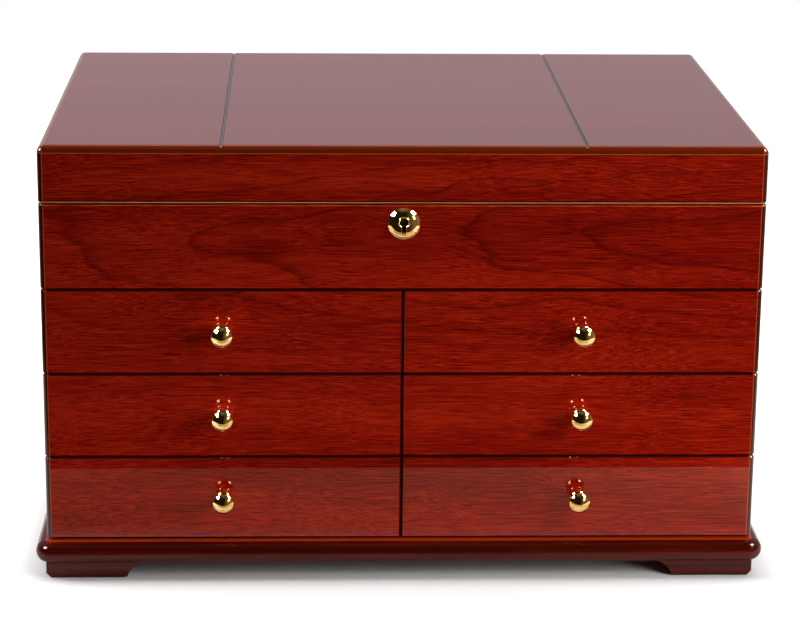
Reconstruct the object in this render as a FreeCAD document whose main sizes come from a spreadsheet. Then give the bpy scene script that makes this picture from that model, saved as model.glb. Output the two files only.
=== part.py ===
"""Cigar humidor: a cedar-lined chest with a hinged lid, standing on six drawers.

The front faces -Y and the origin is the middle of the underside, so the pads rest on Z = 0.
All sizes are in millimetres. The boards are placed by three sets of levels that everything
shares: the fronts' face and the case's back in Y, the case's inner walls in X, and in Z the
ledge of the plinth, the lines between the drawer rows, the lid's seam and the top.
"""
import FreeCAD
import Part
import Sketcher
import math
import os
import re
from FreeCAD import Placement, Rotation, Vector

DIMENSIONS = {
    # Outside of the case and its levels
    "case_width": 420,
    "case_depth": 305,
    "pad_height": 0.8,
    "foot_height": 9.2,
    "plinth_height": 13,
    "ledge_gap": 0.6,
    "row_pitch": 51,
    "row_gap": 0.8,
    "chest_height": 51.4,
    "lid_height": 33.6,
    "seam_gap": 0.3,
    # Boards
    "front_thickness": 12,
    "side_thickness": 9,
    "back_thickness": 9,
    "shelf_thickness": 6,
    "column_thickness": 9,
    "lining_thickness": 4,
    "lip_height": 6,
    "lip_clearance": 0.4,
    "lip_chamfer": 1.2,
    "lid_top_thickness": 9,
    "lid_lining_thickness": 3,
    "lining_fit": 0.2,
    # Rounded edges and the routed lines of the lid
    "corner_round": 2.9,
    "lid_round": 4.3,
    "seam_round": 1.2,
    "front_edge_ease": 0.7,
    "groove_radius": 1,
    # Vents in the chest floor and the shelves
    "vent_length": 70,
    "vent_width": 4,
    "vent_pitch": 24,
    # Plinth and feet
    "plinth_front_reach": 9.5,
    "plinth_side_reach": 6.5,
    "plinth_corner": 9.5,
    "plinth_rail": 34,
    "foot_inset": 6,
    "foot_length": 48,
    "foot_cove_run": 13,
    "foot_cove_radius": 12.5,
    "foot_rail": 14,
    "foot_chamfer": 2.4,
    "pad_inset": 1.2,
    # Drawers
    "drawer_side_clearance": 0.7,
    "drawer_top_clearance": 1.2,
    "drawer_under_clearance": 0.3,
    "drawer_back_clearance": 4,
    "drawer_wall": 6,
    "drawer_bottom_thickness": 4,
    "drawer_bottom_rise": 3,
    "drawer_groove_depth": 3,
    "drawer_groove_fit": 0.1,
    # Brass ball knobs
    "knob_reach": 17.5,
    "knob_ball_radius": 6.05,
    "knob_waist_radius": 2.9,
    "knob_collar_radius": 4.3,
    "knob_collar_height": 2,
    "knob_collar_bevel": 0.7,
    "knob_neck_radius": 2.4,
    "knob_neck_height": 2.2,
    "knob_base_radius": 4,
    "knob_base_height": 0.7,
    "knob_stud_radius": 1.95,
    "knob_stud_length": 9,
    "knob_stud_fit": 0.05,
    "knob_hole_spare": 0.3,
    "knob_rise": 0.8,
    # Chest dividers
    "divider_thickness": 4,
    "divider_place": 66,
    "divider_end_clearance": 0.6,
    "divider_foot_clearance": 0.3,
    "divider_top_drop": 2.5,
    "divider_notch_radius": 17,
    "divider_notch_rise": 5,
    # Lock and its escutcheon
    "escutcheon_radius": 9.25,
    "escutcheon_edge": 0.3,
    "escutcheon_roll_width": 2.6,
    "escutcheon_roll_height": 1.9,
    "escutcheon_roll_round": 3.95,
    "escutcheon_dome": 0.7,
    "lock_drop": 11.8,
    "key_rise": 1.6,
    "key_radius": 2.6,
    "key_slot_width": 2.9,
    "key_slot_drop": 4.7,
    "key_rim": 0.8,
    "key_rim_height": 3.2,
    "lock_skin": 3.5,
    "lock_half_width": 22,
    "lock_wall": 1.2,
    "lock_fit": 0.1,
    "lock_plate_length": 60,
    "lock_plate_width": 9,
    "lock_plate_thickness": 1.5,
    "lock_foot_drop": 20.5,
    "key_pin_radius": 1,
    "bolt_thickness": 2.4,
    "bolt_clearance": 0.3,
    "bolt_arm": 3,
    "bolt_finger": 3.9,
    "bolt_finger_height": 2.8,
    "bolt_throw": 4,
    "bolt_pin_clearance": 1.4,
    "bolt_finger_rise": 6.4,
    "bolt_notch_drop": 5,
    "bolt_notch_shift": 0.5,
    "staple_place": 11,
    "staple_thickness": 2,
    "staple_width": 6,
    "staple_length": 8.7,
    "staple_slot_fit": 0.4,
    "staple_eye_fit": 0.6,
    "staple_setback": 0.2,
    # Hinges and screws
    "hinge_length": 38,
    "hinge_place": 135,
    "leaf_width": 8,
    "leaf_thickness": 1.4,
    "knuckle_radius": 2.3,
    "knuckle_gap": 0.2,
    "pin_radius": 1,
    "pin_fit": 0.05,
    "screw_head_radius": 2.3,
    "screw_head_height": 1.1,
    "screw_shank_radius": 1,
    "screw_length": 8,
    "screw_fit": 0.05,
    "hinge_screw_pitch": 22,
    "lock_screw_inset": 4,
    # Hygrometer
    "hygrometer_place": 112,
    "hygrometer_radius": 22,
    "hygrometer_depth": 11,
    "hygrometer_wall": 1.6,
    "hygrometer_step": 1,
    "glass_thickness": 1.2,
    "glass_setback": 0.6,
    "spindle_radius": 0.6,
    "spindle_length": 3,
    "needle_length": 15,
    "needle_tail": 5.5,
    "needle_width": 1.4,
    "needle_thickness": 0.5,
    "needle_hub_radius": 2,
    "needle_fit": 0.05,
    "needle_lift": 1.2,
    # Humidifier
    "humidifier_place": 45,
    "humidifier_length": 132,
    "humidifier_width": 62,
    "humidifier_height": 14,
    "humidifier_wall": 2,
    "humidifier_round": 4,
    "humidifier_fit": 0.1,
    "grille_thickness": 2,
    "grille_slot_width": 2.2,
    "grille_slot_pitch": 5.5,
    "grille_border": 9,
}

# Levels that the boards share, as expressions on the sheet
FRONT = "(knob_reach - case_depth - plinth_side_reach) / 2"
BACK = f"({FRONT} + case_depth)"
INNER_FRONT = f"({FRONT} + front_thickness)"
INNER_BACK = f"({BACK} - back_thickness)"
INNER_DEPTH = "(case_depth - front_thickness - back_thickness)"
INNER_SIDE = "(case_width / 2 - side_thickness)"
PLINTH_LOW = "(pad_height + foot_height)"
LEDGE = f"({PLINTH_LOW} + plinth_height)"
ROW_LINES = [f"({LEDGE} + ledge_gap + {row} * row_pitch)" for row in range(4)]
CHEST_LINE = ROW_LINES[3]
CHEST_FLOOR = f"({CHEST_LINE} + shelf_thickness / 2)"
SEAM = f"({CHEST_LINE} + chest_height)"
BODY_TOP = f"({SEAM} - seam_gap / 2)"
LID_LOW = f"({SEAM} + seam_gap / 2)"
LID_TOP_LOW = f"({SEAM} + lid_height - lid_top_thickness)"
LID_LINING_LOW = f"({LID_TOP_LOW} - lid_lining_thickness)"
KNOB_PLACE = "(case_width / 4)"
HINGE_AXIS = f"({BACK} + knuckle_radius + knuckle_gap)"
LOCK_CENTRE = f"({SEAM} - lock_drop)"
KEY_CENTRE = f"({LOCK_CENTRE} + key_rise)"
LOCK_SCREW_PLACE = "(lock_plate_length / 2 - lock_screw_inset)"
STAPLE_CENTRE = f"({FRONT} + lock_skin + lock_wall + staple_width / 2 - staple_setback)"

# Two places this close, in mm, are the same
SAME_PLACE = 1e-3

# Directions of turned pieces and rods, whose own axis is Z
FORWARD = Rotation(Vector(1, 0, 0), 90)
DOWNWARD = Rotation(Vector(1, 0, 0), 180)
ROD_TURNS = {
    "x": Rotation(Vector(0, 1, 0), 90),
    "y": Rotation(Vector(1, 0, 0), -90),
    "z": Rotation(),
}

doc = FreeCAD.newDocument("cigar_humidor")
sheet = doc.addObject("Spreadsheet::Sheet", "dims")
for cell_row, (alias, millimetres) in enumerate(DIMENSIONS.items(), start=1):
    sheet.set(f"A{cell_row}", alias)
    sheet.set(f"B{cell_row}", str(millimetres))
    sheet.setAlias(f"B{cell_row}", alias)
doc.recompute()
reader = doc.addObject("App::FeaturePython", "reader")
parts = {}


def bound(text):
    """The expression with every named dimension read from its cell of the sheet."""
    return re.sub(
        r"[a-z_]+",
        lambda word: f"dims.{word.group()}" if word.group() in DIMENSIONS else word.group(),
        text,
    )


def value(text):
    """The present number of an expression on the sheet."""
    return float(reader.evalExpression(bound(text)))


def bind(thing, **expressions):
    """Bind properties of an object: a double underscore in a key stands for a dot."""
    for key, text in expressions.items():
        thing.setExpression(key.replace("__", "."), bound(text))


def bind_place(thing, place, prefix="Placement"):
    """Bind the position of an object to three expressions."""
    for axis, text in zip("xyz", place):
        thing.setExpression(f"{prefix}.Base.{axis}", bound(text))


def piece(name, place=("0", "0", "0"), turn=None):
    """A new body of its own for one sub-part, placed in the humidor's frame."""
    body = doc.addObject("PartDesign::Body", name)
    body.Label = name
    if turn is not None:
        body.Placement = Placement(Vector(), turn)
    bind_place(body, place)
    parts[name] = body
    return body


def block(body, lengths, low, cut=False):
    """A box feature: its three lengths, and its low corner in the body's own frame."""
    kind = "PartDesign::SubtractiveBox" if cut else "PartDesign::AdditiveBox"
    feature = body.newObject(kind, f"{body.Name}_block")
    bind(feature, Length=lengths[0], Width=lengths[1], Height=lengths[2])
    bind_place(feature, low)
    return feature


def rod(body, radius, length, start, axis="z", cut=False):
    """A cylinder feature along an axis, from its low end."""
    kind = "PartDesign::SubtractiveCylinder" if cut else "PartDesign::AdditiveCylinder"
    feature = body.newObject(kind, f"{body.Name}_rod")
    feature.Placement = Placement(Vector(), ROD_TURNS[axis])
    bind(feature, Radius=radius, Height=length)
    bind_place(feature, start)
    return feature


def taper(body, low_radius, high_radius, length, start):
    """A conical hole along Z, as for a countersunk head."""
    feature = body.newObject("PartDesign::SubtractiveCone", f"{body.Name}_taper")
    bind(feature, Radius1=low_radius, Radius2=high_radius, Height=length)
    bind_place(feature, start)
    return feature


def side_planes(shape):
    """The six sides of a shape's box, as an axis and a place on it."""
    box = shape.BoundBox
    return {
        "left": ("X", box.XMin),
        "right": ("X", box.XMax),
        "front": ("Y", box.YMin),
        "back": ("Y", box.YMax),
        "bottom": ("Z", box.ZMin),
        "top": ("Z", box.ZMax),
    }


def edges_on(shape, sides, off=()):
    """Names of the edges that lie on all these sides of the shape, and on none in off."""
    planes = side_planes(shape)

    def lies_on(edge, side):
        axis, place = planes[side]
        low = getattr(edge.BoundBox, f"{axis}Min")
        high = getattr(edge.BoundBox, f"{axis}Max")
        return abs(low - place) < SAME_PLACE and abs(high - place) < SAME_PLACE

    return [
        f"Edge{number}"
        for number, edge in enumerate(shape.Edges, start=1)
        if all(lies_on(edge, side) for side in sides)
        and not any(lies_on(edge, side) for side in off)
    ]


def dress(kind, size_name, body, size, *edge_sides, off=()):
    """A fillet or chamfer over the edges of a body that lie on the given sides."""
    doc.recompute()
    base = body.Tip
    names = []
    for sides in edge_sides:
        names += edges_on(base.Shape, sides, off)
    feature = body.newObject(kind, f"{body.Name}_edge")
    feature.Base = (base, names)
    bind(feature, **{size_name: size})
    return feature


def rounded(body, radius, *edge_sides, off=()):
    return dress("PartDesign::Fillet", "Radius", body, radius, *edge_sides, off=off)


def chamfered(body, size, *edge_sides, off=()):
    return dress("PartDesign::Chamfer", "Size", body, size, *edge_sides, off=off)


def outline(body, plane, corners):
    """A closed sketch through corners (x, y), each bound to the sheet.

    A corner with a third value is reached by an arc of that radius. The arc turns to the
    left on its way, or to the right where the radius is given with a minus sign in front.
    """
    sketch = body.newObject("Sketcher::SketchObject", f"{body.Name}_outline")
    support = next(item for item in body.Origin.OriginFeatures if item.Role == plane)
    sketch.AttachmentSupport = (support, [""])
    sketch.MapMode = "FlatFace"
    points = [Vector(value(corner[0]), value(corner[1]), 0) for corner in corners]
    for number, start in enumerate(points):
        following = (number + 1) % len(points)
        end = points[following]
        if len(corners[following]) == 2:
            sketch.addGeometry(Part.LineSegment(start, end))
            continue
        radius = value(corners[following][2])
        chord = end - start
        rise = math.sqrt(radius**2 - (chord.Length / 2) ** 2)
        left = Vector(-chord.y, chord.x, 0) / chord.Length
        turn = math.copysign(1, radius)
        centre = start + chord / 2 + left * (rise * turn)
        middle = centre - left * (abs(radius) * turn)
        sketch.addGeometry(Part.Arc(start, middle, end))
    # An arc's own start is its end of the lower angle, so each end is found by its place
    for number, start in enumerate(points):
        previous = (number - 1) % len(points)
        here = nearest_end(sketch, number, start)
        before = nearest_end(sketch, previous, start)
        sketch.addConstraint(Sketcher.Constraint("Coincident", previous, before, number, here))
        for kind, text in (("DistanceX", corners[number][0]), ("DistanceY", corners[number][1])):
            place = start.x if kind == "DistanceX" else start.y
            index = sketch.addConstraint(Sketcher.Constraint(kind, -1, 1, number, here, place))
            sketch.setExpression(f"Constraints[{index}]", bound(text))
        if len(corners[number]) == 3:
            radius = abs(value(corners[number][2]))
            index = sketch.addConstraint(Sketcher.Constraint("Radius", previous, radius))
            sketch.setExpression(f"Constraints[{index}]", bound(corners[number][2].lstrip("-")))
    return sketch


def nearest_end(sketch, number, point):
    """Which end of a sketch's line or arc lies at the point: 1 for its start, 2 for its end."""
    start, end = (sketch.getPoint(number, which) for which in (1, 2))
    return 1 if start.distanceToPoint(point) < end.distanceToPoint(point) else 2


def pad(body, plane, corners, length, reversed_way=False):
    """A prism on one of the body's own planes."""
    sketch = outline(body, plane, corners)
    feature = body.newObject("PartDesign::Pad", f"{body.Name}_pad")
    feature.Profile = sketch
    feature.Reversed = reversed_way
    bind(feature, Length=length)
    return feature


def turned(body, corners):
    """A solid turned about the body's Z axis from a half outline of radius and height."""
    sketch = outline(body, "XZ_Plane", corners)
    feature = body.newObject("PartDesign::Revolution", f"{body.Name}_turned")
    feature.Profile = sketch
    feature.ReferenceAxis = (sketch, ["V_Axis"])
    feature.Angle = 360
    return feature


def repeated(body, feature, axis, reach, count):
    """Evenly spaced copies of a feature along X or Y."""
    doc.recompute()
    pattern = body.newObject("PartDesign::LinearPattern", f"{body.Name}_row")
    pattern.Originals = [feature]
    support = next(item for item in body.Origin.OriginFeatures if item.Role == f"{axis}_Axis")
    pattern.Direction = (support, [""])
    bind(pattern, Length=reach)
    pattern.Occurrences = count
    body.Tip = pattern
    return pattern


def mirrored(name, source, normal, plane_place):
    """A mirror copy of a piece about a plane square to X or Y."""
    copy = doc.addObject("Part::Mirroring", name)
    copy.Label = name
    copy.Source = source
    copy.Normal = normal
    bind(copy, Base__x=plane_place if normal.x else "0", Base__y=plane_place if normal.y else "0")
    return copy


def grouped(name, members):
    """Like pieces of one body that share a node, as separate solids."""
    group = doc.addObject("Part::Compound", name)
    group.Label = name
    group.Links = members
    parts[name] = group
    return group


# The case: sides, back, front panel, shelves and the columns' dividers


def make_side(name, outer_side):
    place_x = "-case_width / 2" if outer_side == "left" else INNER_SIDE
    body = piece(name, (place_x, INNER_FRONT, LEDGE))
    block(body, ("side_thickness", INNER_DEPTH, f"{BODY_TOP} - {LEDGE}"), ("0", "0", "0"))
    rounded(body, "seam_round", (outer_side, "top"))


def make_back_panel():
    body = piece("back_panel", ("-case_width / 2", INNER_BACK, LEDGE))
    high = f"({BODY_TOP} - {LEDGE})"
    block(body, ("case_width", "back_thickness", high), ("0", "0", "0"))
    rounded(body, "corner_round", ("left", "back"), ("right", "back"))
    rounded(body, "seam_round", ("top",), off=("front",))
    cut_leaf_recesses(body, "case_width / 2", "back_thickness", f"{high} - leaf_thickness", -1)


def cut_leaf_recesses(body, middle, rear, recess_low, screw_way):
    """Recesses for both hinge leaves, with the screws' pilot holes below or above them."""
    for side in (-1, 1):
        centre = f"({middle} + {side} * hinge_place)"
        low = (f"{centre} - hinge_length / 2", f"{rear} - leaf_width", recess_low)
        block(body, ("hinge_length", "leaf_width + 1", "leaf_thickness"), low, cut=True)
        for step in (-0.5, 0.5):
            pilot_low = f"{recess_low} - screw_length" if screw_way < 0 else recess_low
            place = (f"{centre} + {step} * hinge_screw_pitch", f"{rear} - leaf_width / 2", pilot_low)
            rod(body, "screw_shank_radius + screw_fit", "screw_length + leaf_thickness", place, cut=True)


def make_front_panel():
    low = f"({CHEST_LINE} + row_gap / 2)"
    body = piece("front_panel", ("0", FRONT, low))
    high = f"({BODY_TOP} - {low})"
    block(body, ("case_width", "front_thickness", high), ("-case_width / 2", "0", "0"))
    rounded(body, "corner_round", ("left", "front"), ("right", "front"))
    rounded(body, "seam_round", ("top",), off=("back",))
    chamfered(body, "front_edge_ease", ("bottom",), off=("back",))
    mortise_low = f"({SEAM} - lock_foot_drop - lock_fit - {low})"
    block(
        body,
        ("2 * (lock_half_width + lock_fit)", "front_thickness - lock_skin + 1", "lock_foot_drop + 1"),
        ("-lock_half_width - lock_fit", "lock_skin", mortise_low),
        cut=True,
    )
    block(
        body,
        ("lock_plate_length + 2 * lock_fit", "lock_plate_width + lock_fit + 1", "lock_plate_thickness + 1"),
        (
            "-lock_plate_length / 2 - lock_fit",
            "front_thickness - lock_plate_width - lock_fit",
            f"{high} - lock_plate_thickness",
        ),
        cut=True,
    )
    for side in (-1, 1):
        place = (
            f"{side} * {LOCK_SCREW_PLACE}",
            "front_thickness - lock_plate_width / 2",
            f"{high} - lock_plate_thickness - screw_length",
        )
        rod(body, "screw_shank_radius + screw_fit", "screw_length + 1", place, cut=True)
    key_height = f"({KEY_CENTRE} - {low})"
    rod(body, "key_radius", "lock_skin + 1", ("0", "-0.5", key_height), axis="y", cut=True)
    block(
        body,
        ("key_slot_width", "lock_skin + 1", "key_rise + key_slot_drop"),
        ("-key_slot_width / 2", "-0.5", f"{key_height} - key_rise - key_slot_drop"),
        cut=True,
    )


def make_shelf(name, line):
    """A full-width board between the rows, with two ranks of vents for the damp air."""
    body = piece(name, ("0", INNER_FRONT, f"{line} - shelf_thickness / 2"))
    block(body, (f"2 * {INNER_SIDE}", INNER_DEPTH, "shelf_thickness"), (f"-{INNER_SIDE}", "0", "0"))
    for side in (-1, 1):
        low = (f"{side} * {KNOB_PLACE} - vent_length / 2", f"{INNER_DEPTH} / 2 - 2 * vent_pitch", "-1")
        vent = block(body, ("vent_length", "vent_width", "shelf_thickness + 2"), low, cut=True)
        repeated(body, vent, "Y", "4 * vent_pitch", 5)


def make_column_dividers():
    """Three upright boards between the shelves, one in each row."""
    boards = []
    for row, line in enumerate(ROW_LINES[:3]):
        board = doc.addObject("Part::Box", f"column_board_{row}")
        bind(board, Length="column_thickness", Width=INNER_DEPTH, Height="row_pitch - shelf_thickness")
        bind_place(board, ("-column_thickness / 2", INNER_FRONT, f"{line} + shelf_thickness / 2"))
        boards.append(board)
    grouped("column_dividers", boards)


def make_base_board():
    body = piece("base_board", (f"-{INNER_SIDE}", INNER_FRONT, LEDGE))
    high = "ledge_gap + shelf_thickness / 2"
    block(body, (f"2 * {INNER_SIDE}", INNER_DEPTH, high), ("0", "0", "0"))


# The foot of the case: a bullnosed plinth frame on four bracket feet with felt pads


PLINTH_SIDE = "(case_width / 2 + plinth_side_reach)"
PLINTH_FRONT = f"({FRONT} - plinth_front_reach)"
PLINTH_DEPTH = "(case_depth + plinth_front_reach + plinth_side_reach)"
PLINTH_MIDDLE = f"({PLINTH_FRONT} + {PLINTH_DEPTH} / 2)"


def make_plinth():
    body = piece("plinth", (f"-{PLINTH_SIDE}", PLINTH_FRONT, PLINTH_LOW))
    block(body, (f"2 * {PLINTH_SIDE}", PLINTH_DEPTH, "plinth_height"), ("0", "0", "0"))
    corners = [(side, end) for side in ("left", "right") for end in ("front", "back")]
    rounded(body, "plinth_corner", *corners)
    rounded(body, "plinth_height * 0.499", ("top",), ("bottom",))
    block(
        body,
        (f"2 * ({PLINTH_SIDE} - plinth_rail)", f"{PLINTH_DEPTH} - 2 * plinth_rail", "plinth_height + 2"),
        ("plinth_rail", "plinth_rail", "-1"),
        cut=True,
    )


def foot_arm(body, plane, reversed_way):
    """One board of a bracket foot: straight below, with a cove that runs out under the plinth."""
    cove_end = "foot_length + foot_cove_run"
    corners = [
        ("0", "0"),
        ("foot_length", "0"),
        (cove_end, "foot_height", "-foot_cove_radius"),
        ("0", "foot_height"),
    ]
    pad(body, plane, corners, "foot_rail", reversed_way)


def make_feet():
    foot_corner = (f"-{PLINTH_SIDE} + foot_inset", f"{PLINTH_FRONT} + foot_inset")
    front_left = piece("foot_front_left", (*foot_corner, "pad_height"))
    foot_arm(front_left, "XZ_Plane", True)
    foot_arm(front_left, "YZ_Plane", False)
    chamfered(front_left, "foot_chamfer", ("left", "bottom"))
    parts["foot_front_right"] = mirrored("foot_front_right", front_left, Vector(1, 0, 0), "0")
    rear_left = mirrored("foot_rear_left", front_left, Vector(0, 1, 0), PLINTH_MIDDLE)
    parts["foot_rear_left"] = rear_left
    parts["foot_rear_right"] = mirrored("foot_rear_right", rear_left, Vector(1, 0, 0), "0")


def make_foot_pads():
    pad_corner = (
        f"-{PLINTH_SIDE} + foot_inset + foot_chamfer",
        f"{PLINTH_FRONT} + foot_inset + pad_inset",
    )
    first = piece("foot_pad_front_left", (*pad_corner, "0"))
    del parts["foot_pad_front_left"]
    long_x = "(foot_length - foot_chamfer - pad_inset)"
    long_y = "(foot_length - 2 * pad_inset)"
    wide_x = "(foot_rail - foot_chamfer - pad_inset)"
    wide_y = "(foot_rail - 2 * pad_inset)"
    block(first, (long_x, wide_y, "pad_height"), ("0", "0", "0"))
    block(first, (wide_x, long_y, "pad_height"), ("0", "0", "0"))
    right = mirrored("foot_pad_front_right", first, Vector(1, 0, 0), "0")
    rear = mirrored("foot_pad_rear_left", first, Vector(0, 1, 0), PLINTH_MIDDLE)
    rear_right = mirrored("foot_pad_rear_right", rear, Vector(1, 0, 0), "0")
    grouped("foot_pads", [first, right, rear, rear_right])


# Inside of the chest: the cedar lining with its sealing lip, and two sliding dividers


def make_cedar_lining():
    body = piece("cedar_lining", ("0", INNER_FRONT, CHEST_FLOOR))
    high = f"({SEAM} + lip_height - {CHEST_FLOOR})"
    block(body, (f"2 * {INNER_SIDE}", INNER_DEPTH, high), (f"-{INNER_SIDE}", "0", "0"))
    chamfered(body, "lip_chamfer", ("top",))
    block(
        body,
        (f"2 * ({INNER_SIDE} - lining_thickness)", f"{INNER_DEPTH} - 2 * lining_thickness", f"{high} + 2"),
        (f"-{INNER_SIDE} + lining_thickness", "lining_thickness", "-1"),
        cut=True,
    )


def make_chest_divider(name, side):
    """A loose cedar divider with a finger notch, standing across the chest."""
    long = f"({INNER_DEPTH} - 2 * lining_thickness - 2 * divider_end_clearance)"
    high = f"({SEAM} - divider_top_drop - {CHEST_FLOOR} - divider_foot_clearance)"
    place = (
        f"{side} * divider_place",
        f"{INNER_FRONT} + lining_thickness + divider_end_clearance",
        f"{CHEST_FLOOR} + divider_foot_clearance",
    )
    body = piece(name, place)
    block(body, ("divider_thickness", long, high), ("-divider_thickness / 2", "0", "0"))
    notch = ("-divider_thickness", f"{long} / 2", f"{high} + divider_notch_rise")
    rod(body, "divider_notch_radius", "2 * divider_thickness", notch, axis="x", cut=True)


# The lid: grooved top, mitred frame and cedar lining


def make_lid_top():
    body = piece("lid_top", ("0", FRONT, LID_TOP_LOW))
    block(body, ("case_width", "case_depth", "lid_top_thickness"), ("-case_width / 2", "0", "0"))
    corners = [(side, end) for side in ("left", "right") for end in ("front", "back")]
    rounded(body, "corner_round", *corners)
    rounded(body, "lid_round", ("top",))
    for side in (-1, 1):
        start = (f"{side} * {KNOB_PLACE}", "-1", "lid_top_thickness")
        rod(body, "groove_radius", "case_depth + 2", start, axis="y", cut=True)


def make_lid_frame():
    """The lid's four walls, a little thinner than the case's so that they clear the lip."""
    body = piece("lid_frame", ("0", FRONT, LID_LOW))
    high = f"({LID_TOP_LOW} - {LID_LOW})"
    block(body, ("case_width", "case_depth", high), ("-case_width / 2", "0", "0"))
    corners = [(side, end) for side in ("left", "right") for end in ("front", "back")]
    rounded(body, "corner_round", *corners)
    rounded(body, "seam_round", ("bottom",))
    inner_side = f"({INNER_SIDE} + lip_clearance)"
    block(
        body,
        (f"2 * {inner_side}", f"{INNER_DEPTH} + 2 * lip_clearance", f"{high} + 2"),
        (f"-{inner_side}", "front_thickness - lip_clearance", "-1"),
        cut=True,
    )
    cut_leaf_recesses(body, "0", "case_depth", "0", 1)
    plate = (
        "lock_plate_length + 2 * lock_fit",
        "lock_plate_width + 2 * lock_fit",
        "lock_plate_thickness",
    )
    plate_front = f"({STAPLE_CENTRE} - {FRONT} - lock_plate_width / 2)"
    low = ("-lock_plate_length / 2 - lock_fit", f"{plate_front} - lock_fit", "0")
    block(body, plate, low, cut=True)
    for side in (-1, 1):
        place = (f"{side} * {LOCK_SCREW_PLACE}", f"{plate_front} + lock_plate_width / 2", "0")
        rod(body, "screw_shank_radius + screw_fit", "screw_length + lock_plate_thickness", place, cut=True)


def make_lid_lining():
    side = f"({INNER_SIDE} + lip_clearance - lining_fit)"
    deep = f"({INNER_DEPTH} + 2 * (lip_clearance - lining_fit))"
    place = (f"-{side}", f"{INNER_FRONT} - lip_clearance + lining_fit", LID_LINING_LOW)
    body = piece("lid_lining", place)
    block(body, (f"2 * {side}", deep, "lid_lining_thickness"), ("0", "0", "0"))


# Hygrometer and humidifier, both under the lid, modelled with Z pointing down from the lining


def make_hygrometer():
    place = ("hygrometer_place", f"{INNER_FRONT} + {INNER_DEPTH} / 2", LID_LINING_LOW)
    inner = "(hygrometer_radius - hygrometer_wall)"
    seat = "(hygrometer_depth - glass_setback - glass_thickness)"
    case = piece("hygrometer_case", place, DOWNWARD)
    turned(
        case,
        [
            ("0", "0"),
            ("hygrometer_radius", "0"),
            ("hygrometer_radius", "hygrometer_depth - hygrometer_wall"),
            ("hygrometer_radius - hygrometer_wall", "hygrometer_depth"),
            (inner, seat),
            (f"{inner} - hygrometer_step", seat),
            (f"{inner} - hygrometer_step", "hygrometer_wall"),
            ("0", "hygrometer_wall"),
        ],
    )
    rod(case, "spindle_radius", "spindle_length", ("0", "0", "hygrometer_wall"))
    needle_low = "hygrometer_wall + needle_lift"
    needle = piece("hygrometer_needle", place, DOWNWARD)
    pointer = [
        ("-needle_width", "-needle_tail"),
        ("needle_width", "-needle_tail"),
        ("needle_width / 4", "needle_length"),
        ("-needle_width / 4", "needle_length"),
    ]
    blade = pad(needle, "XY_Plane", pointer, "needle_thickness")
    bind_place(blade.Profile[0], ("0", "0", needle_low), "AttachmentOffset")
    rod(needle, "needle_hub_radius", "needle_thickness", ("0", "0", needle_low))
    hole_low = ("0", "0", f"{needle_low} - 1")
    rod(needle, "spindle_radius + needle_fit", "needle_thickness + 2", hole_low, cut=True)
    glass = piece("hygrometer_glass", place, DOWNWARD)
    rod(glass, f"{inner} - needle_fit", "glass_thickness", ("0", "0", seat))


def make_humidifier():
    place = ("-humidifier_place", f"{INNER_FRONT} + {INNER_DEPTH} / 2", LID_LINING_LOW)
    case = piece("humidifier_case", place, DOWNWARD)
    size = ("humidifier_length", "humidifier_width", "humidifier_height")
    block(case, size, ("-humidifier_length / 2", "-humidifier_width / 2", "0"))
    corners = [(side, end) for side in ("left", "right") for end in ("front", "back")]
    rounded(case, "humidifier_round", *corners)
    hollow = ("humidifier_length - 2 * humidifier_wall", "humidifier_width - 2 * humidifier_wall")
    hollow_low = ("humidifier_wall - humidifier_length / 2", "humidifier_wall - humidifier_width / 2")
    block(case, (*hollow, "humidifier_height"), (*hollow_low, "humidifier_wall"), cut=True)

    grille_place = "humidifier_height - grille_thickness"
    grille = piece("humidifier_grille", place, DOWNWARD)
    fitted = (f"{hollow[0]} - 2 * humidifier_fit", f"{hollow[1]} - 2 * humidifier_fit")
    fitted_low = (f"{hollow_low[0]} + humidifier_fit", f"{hollow_low[1]} + humidifier_fit")
    block(grille, (*fitted, "grille_thickness"), (*fitted_low, grille_place))
    slot_reach = value("humidifier_length - 2 * grille_border - grille_slot_width")
    slot_count = int(slot_reach // value("grille_slot_pitch")) + 1
    slot_low = (
        f"-{slot_count - 1} * grille_slot_pitch / 2 - grille_slot_width / 2",
        "grille_border - humidifier_width / 2",
        f"{grille_place} - 1",
    )
    slot_size = ("grille_slot_width", "humidifier_width - 2 * grille_border", "grille_thickness + 2")
    slot = block(grille, slot_size, slot_low, cut=True)
    repeated(grille, slot, "X", f"{slot_count - 1} * grille_slot_pitch", slot_count)

    sponge = piece("humidifier_sponge", place, DOWNWARD)
    sponge_high = "humidifier_height - humidifier_wall - grille_thickness - humidifier_fit"
    block(sponge, (*fitted, sponge_high), (*fitted_low, "humidifier_wall"))


# Lock: escutcheon, case with the key pin, sliding bolt, and the lid's plate with two staples


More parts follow.
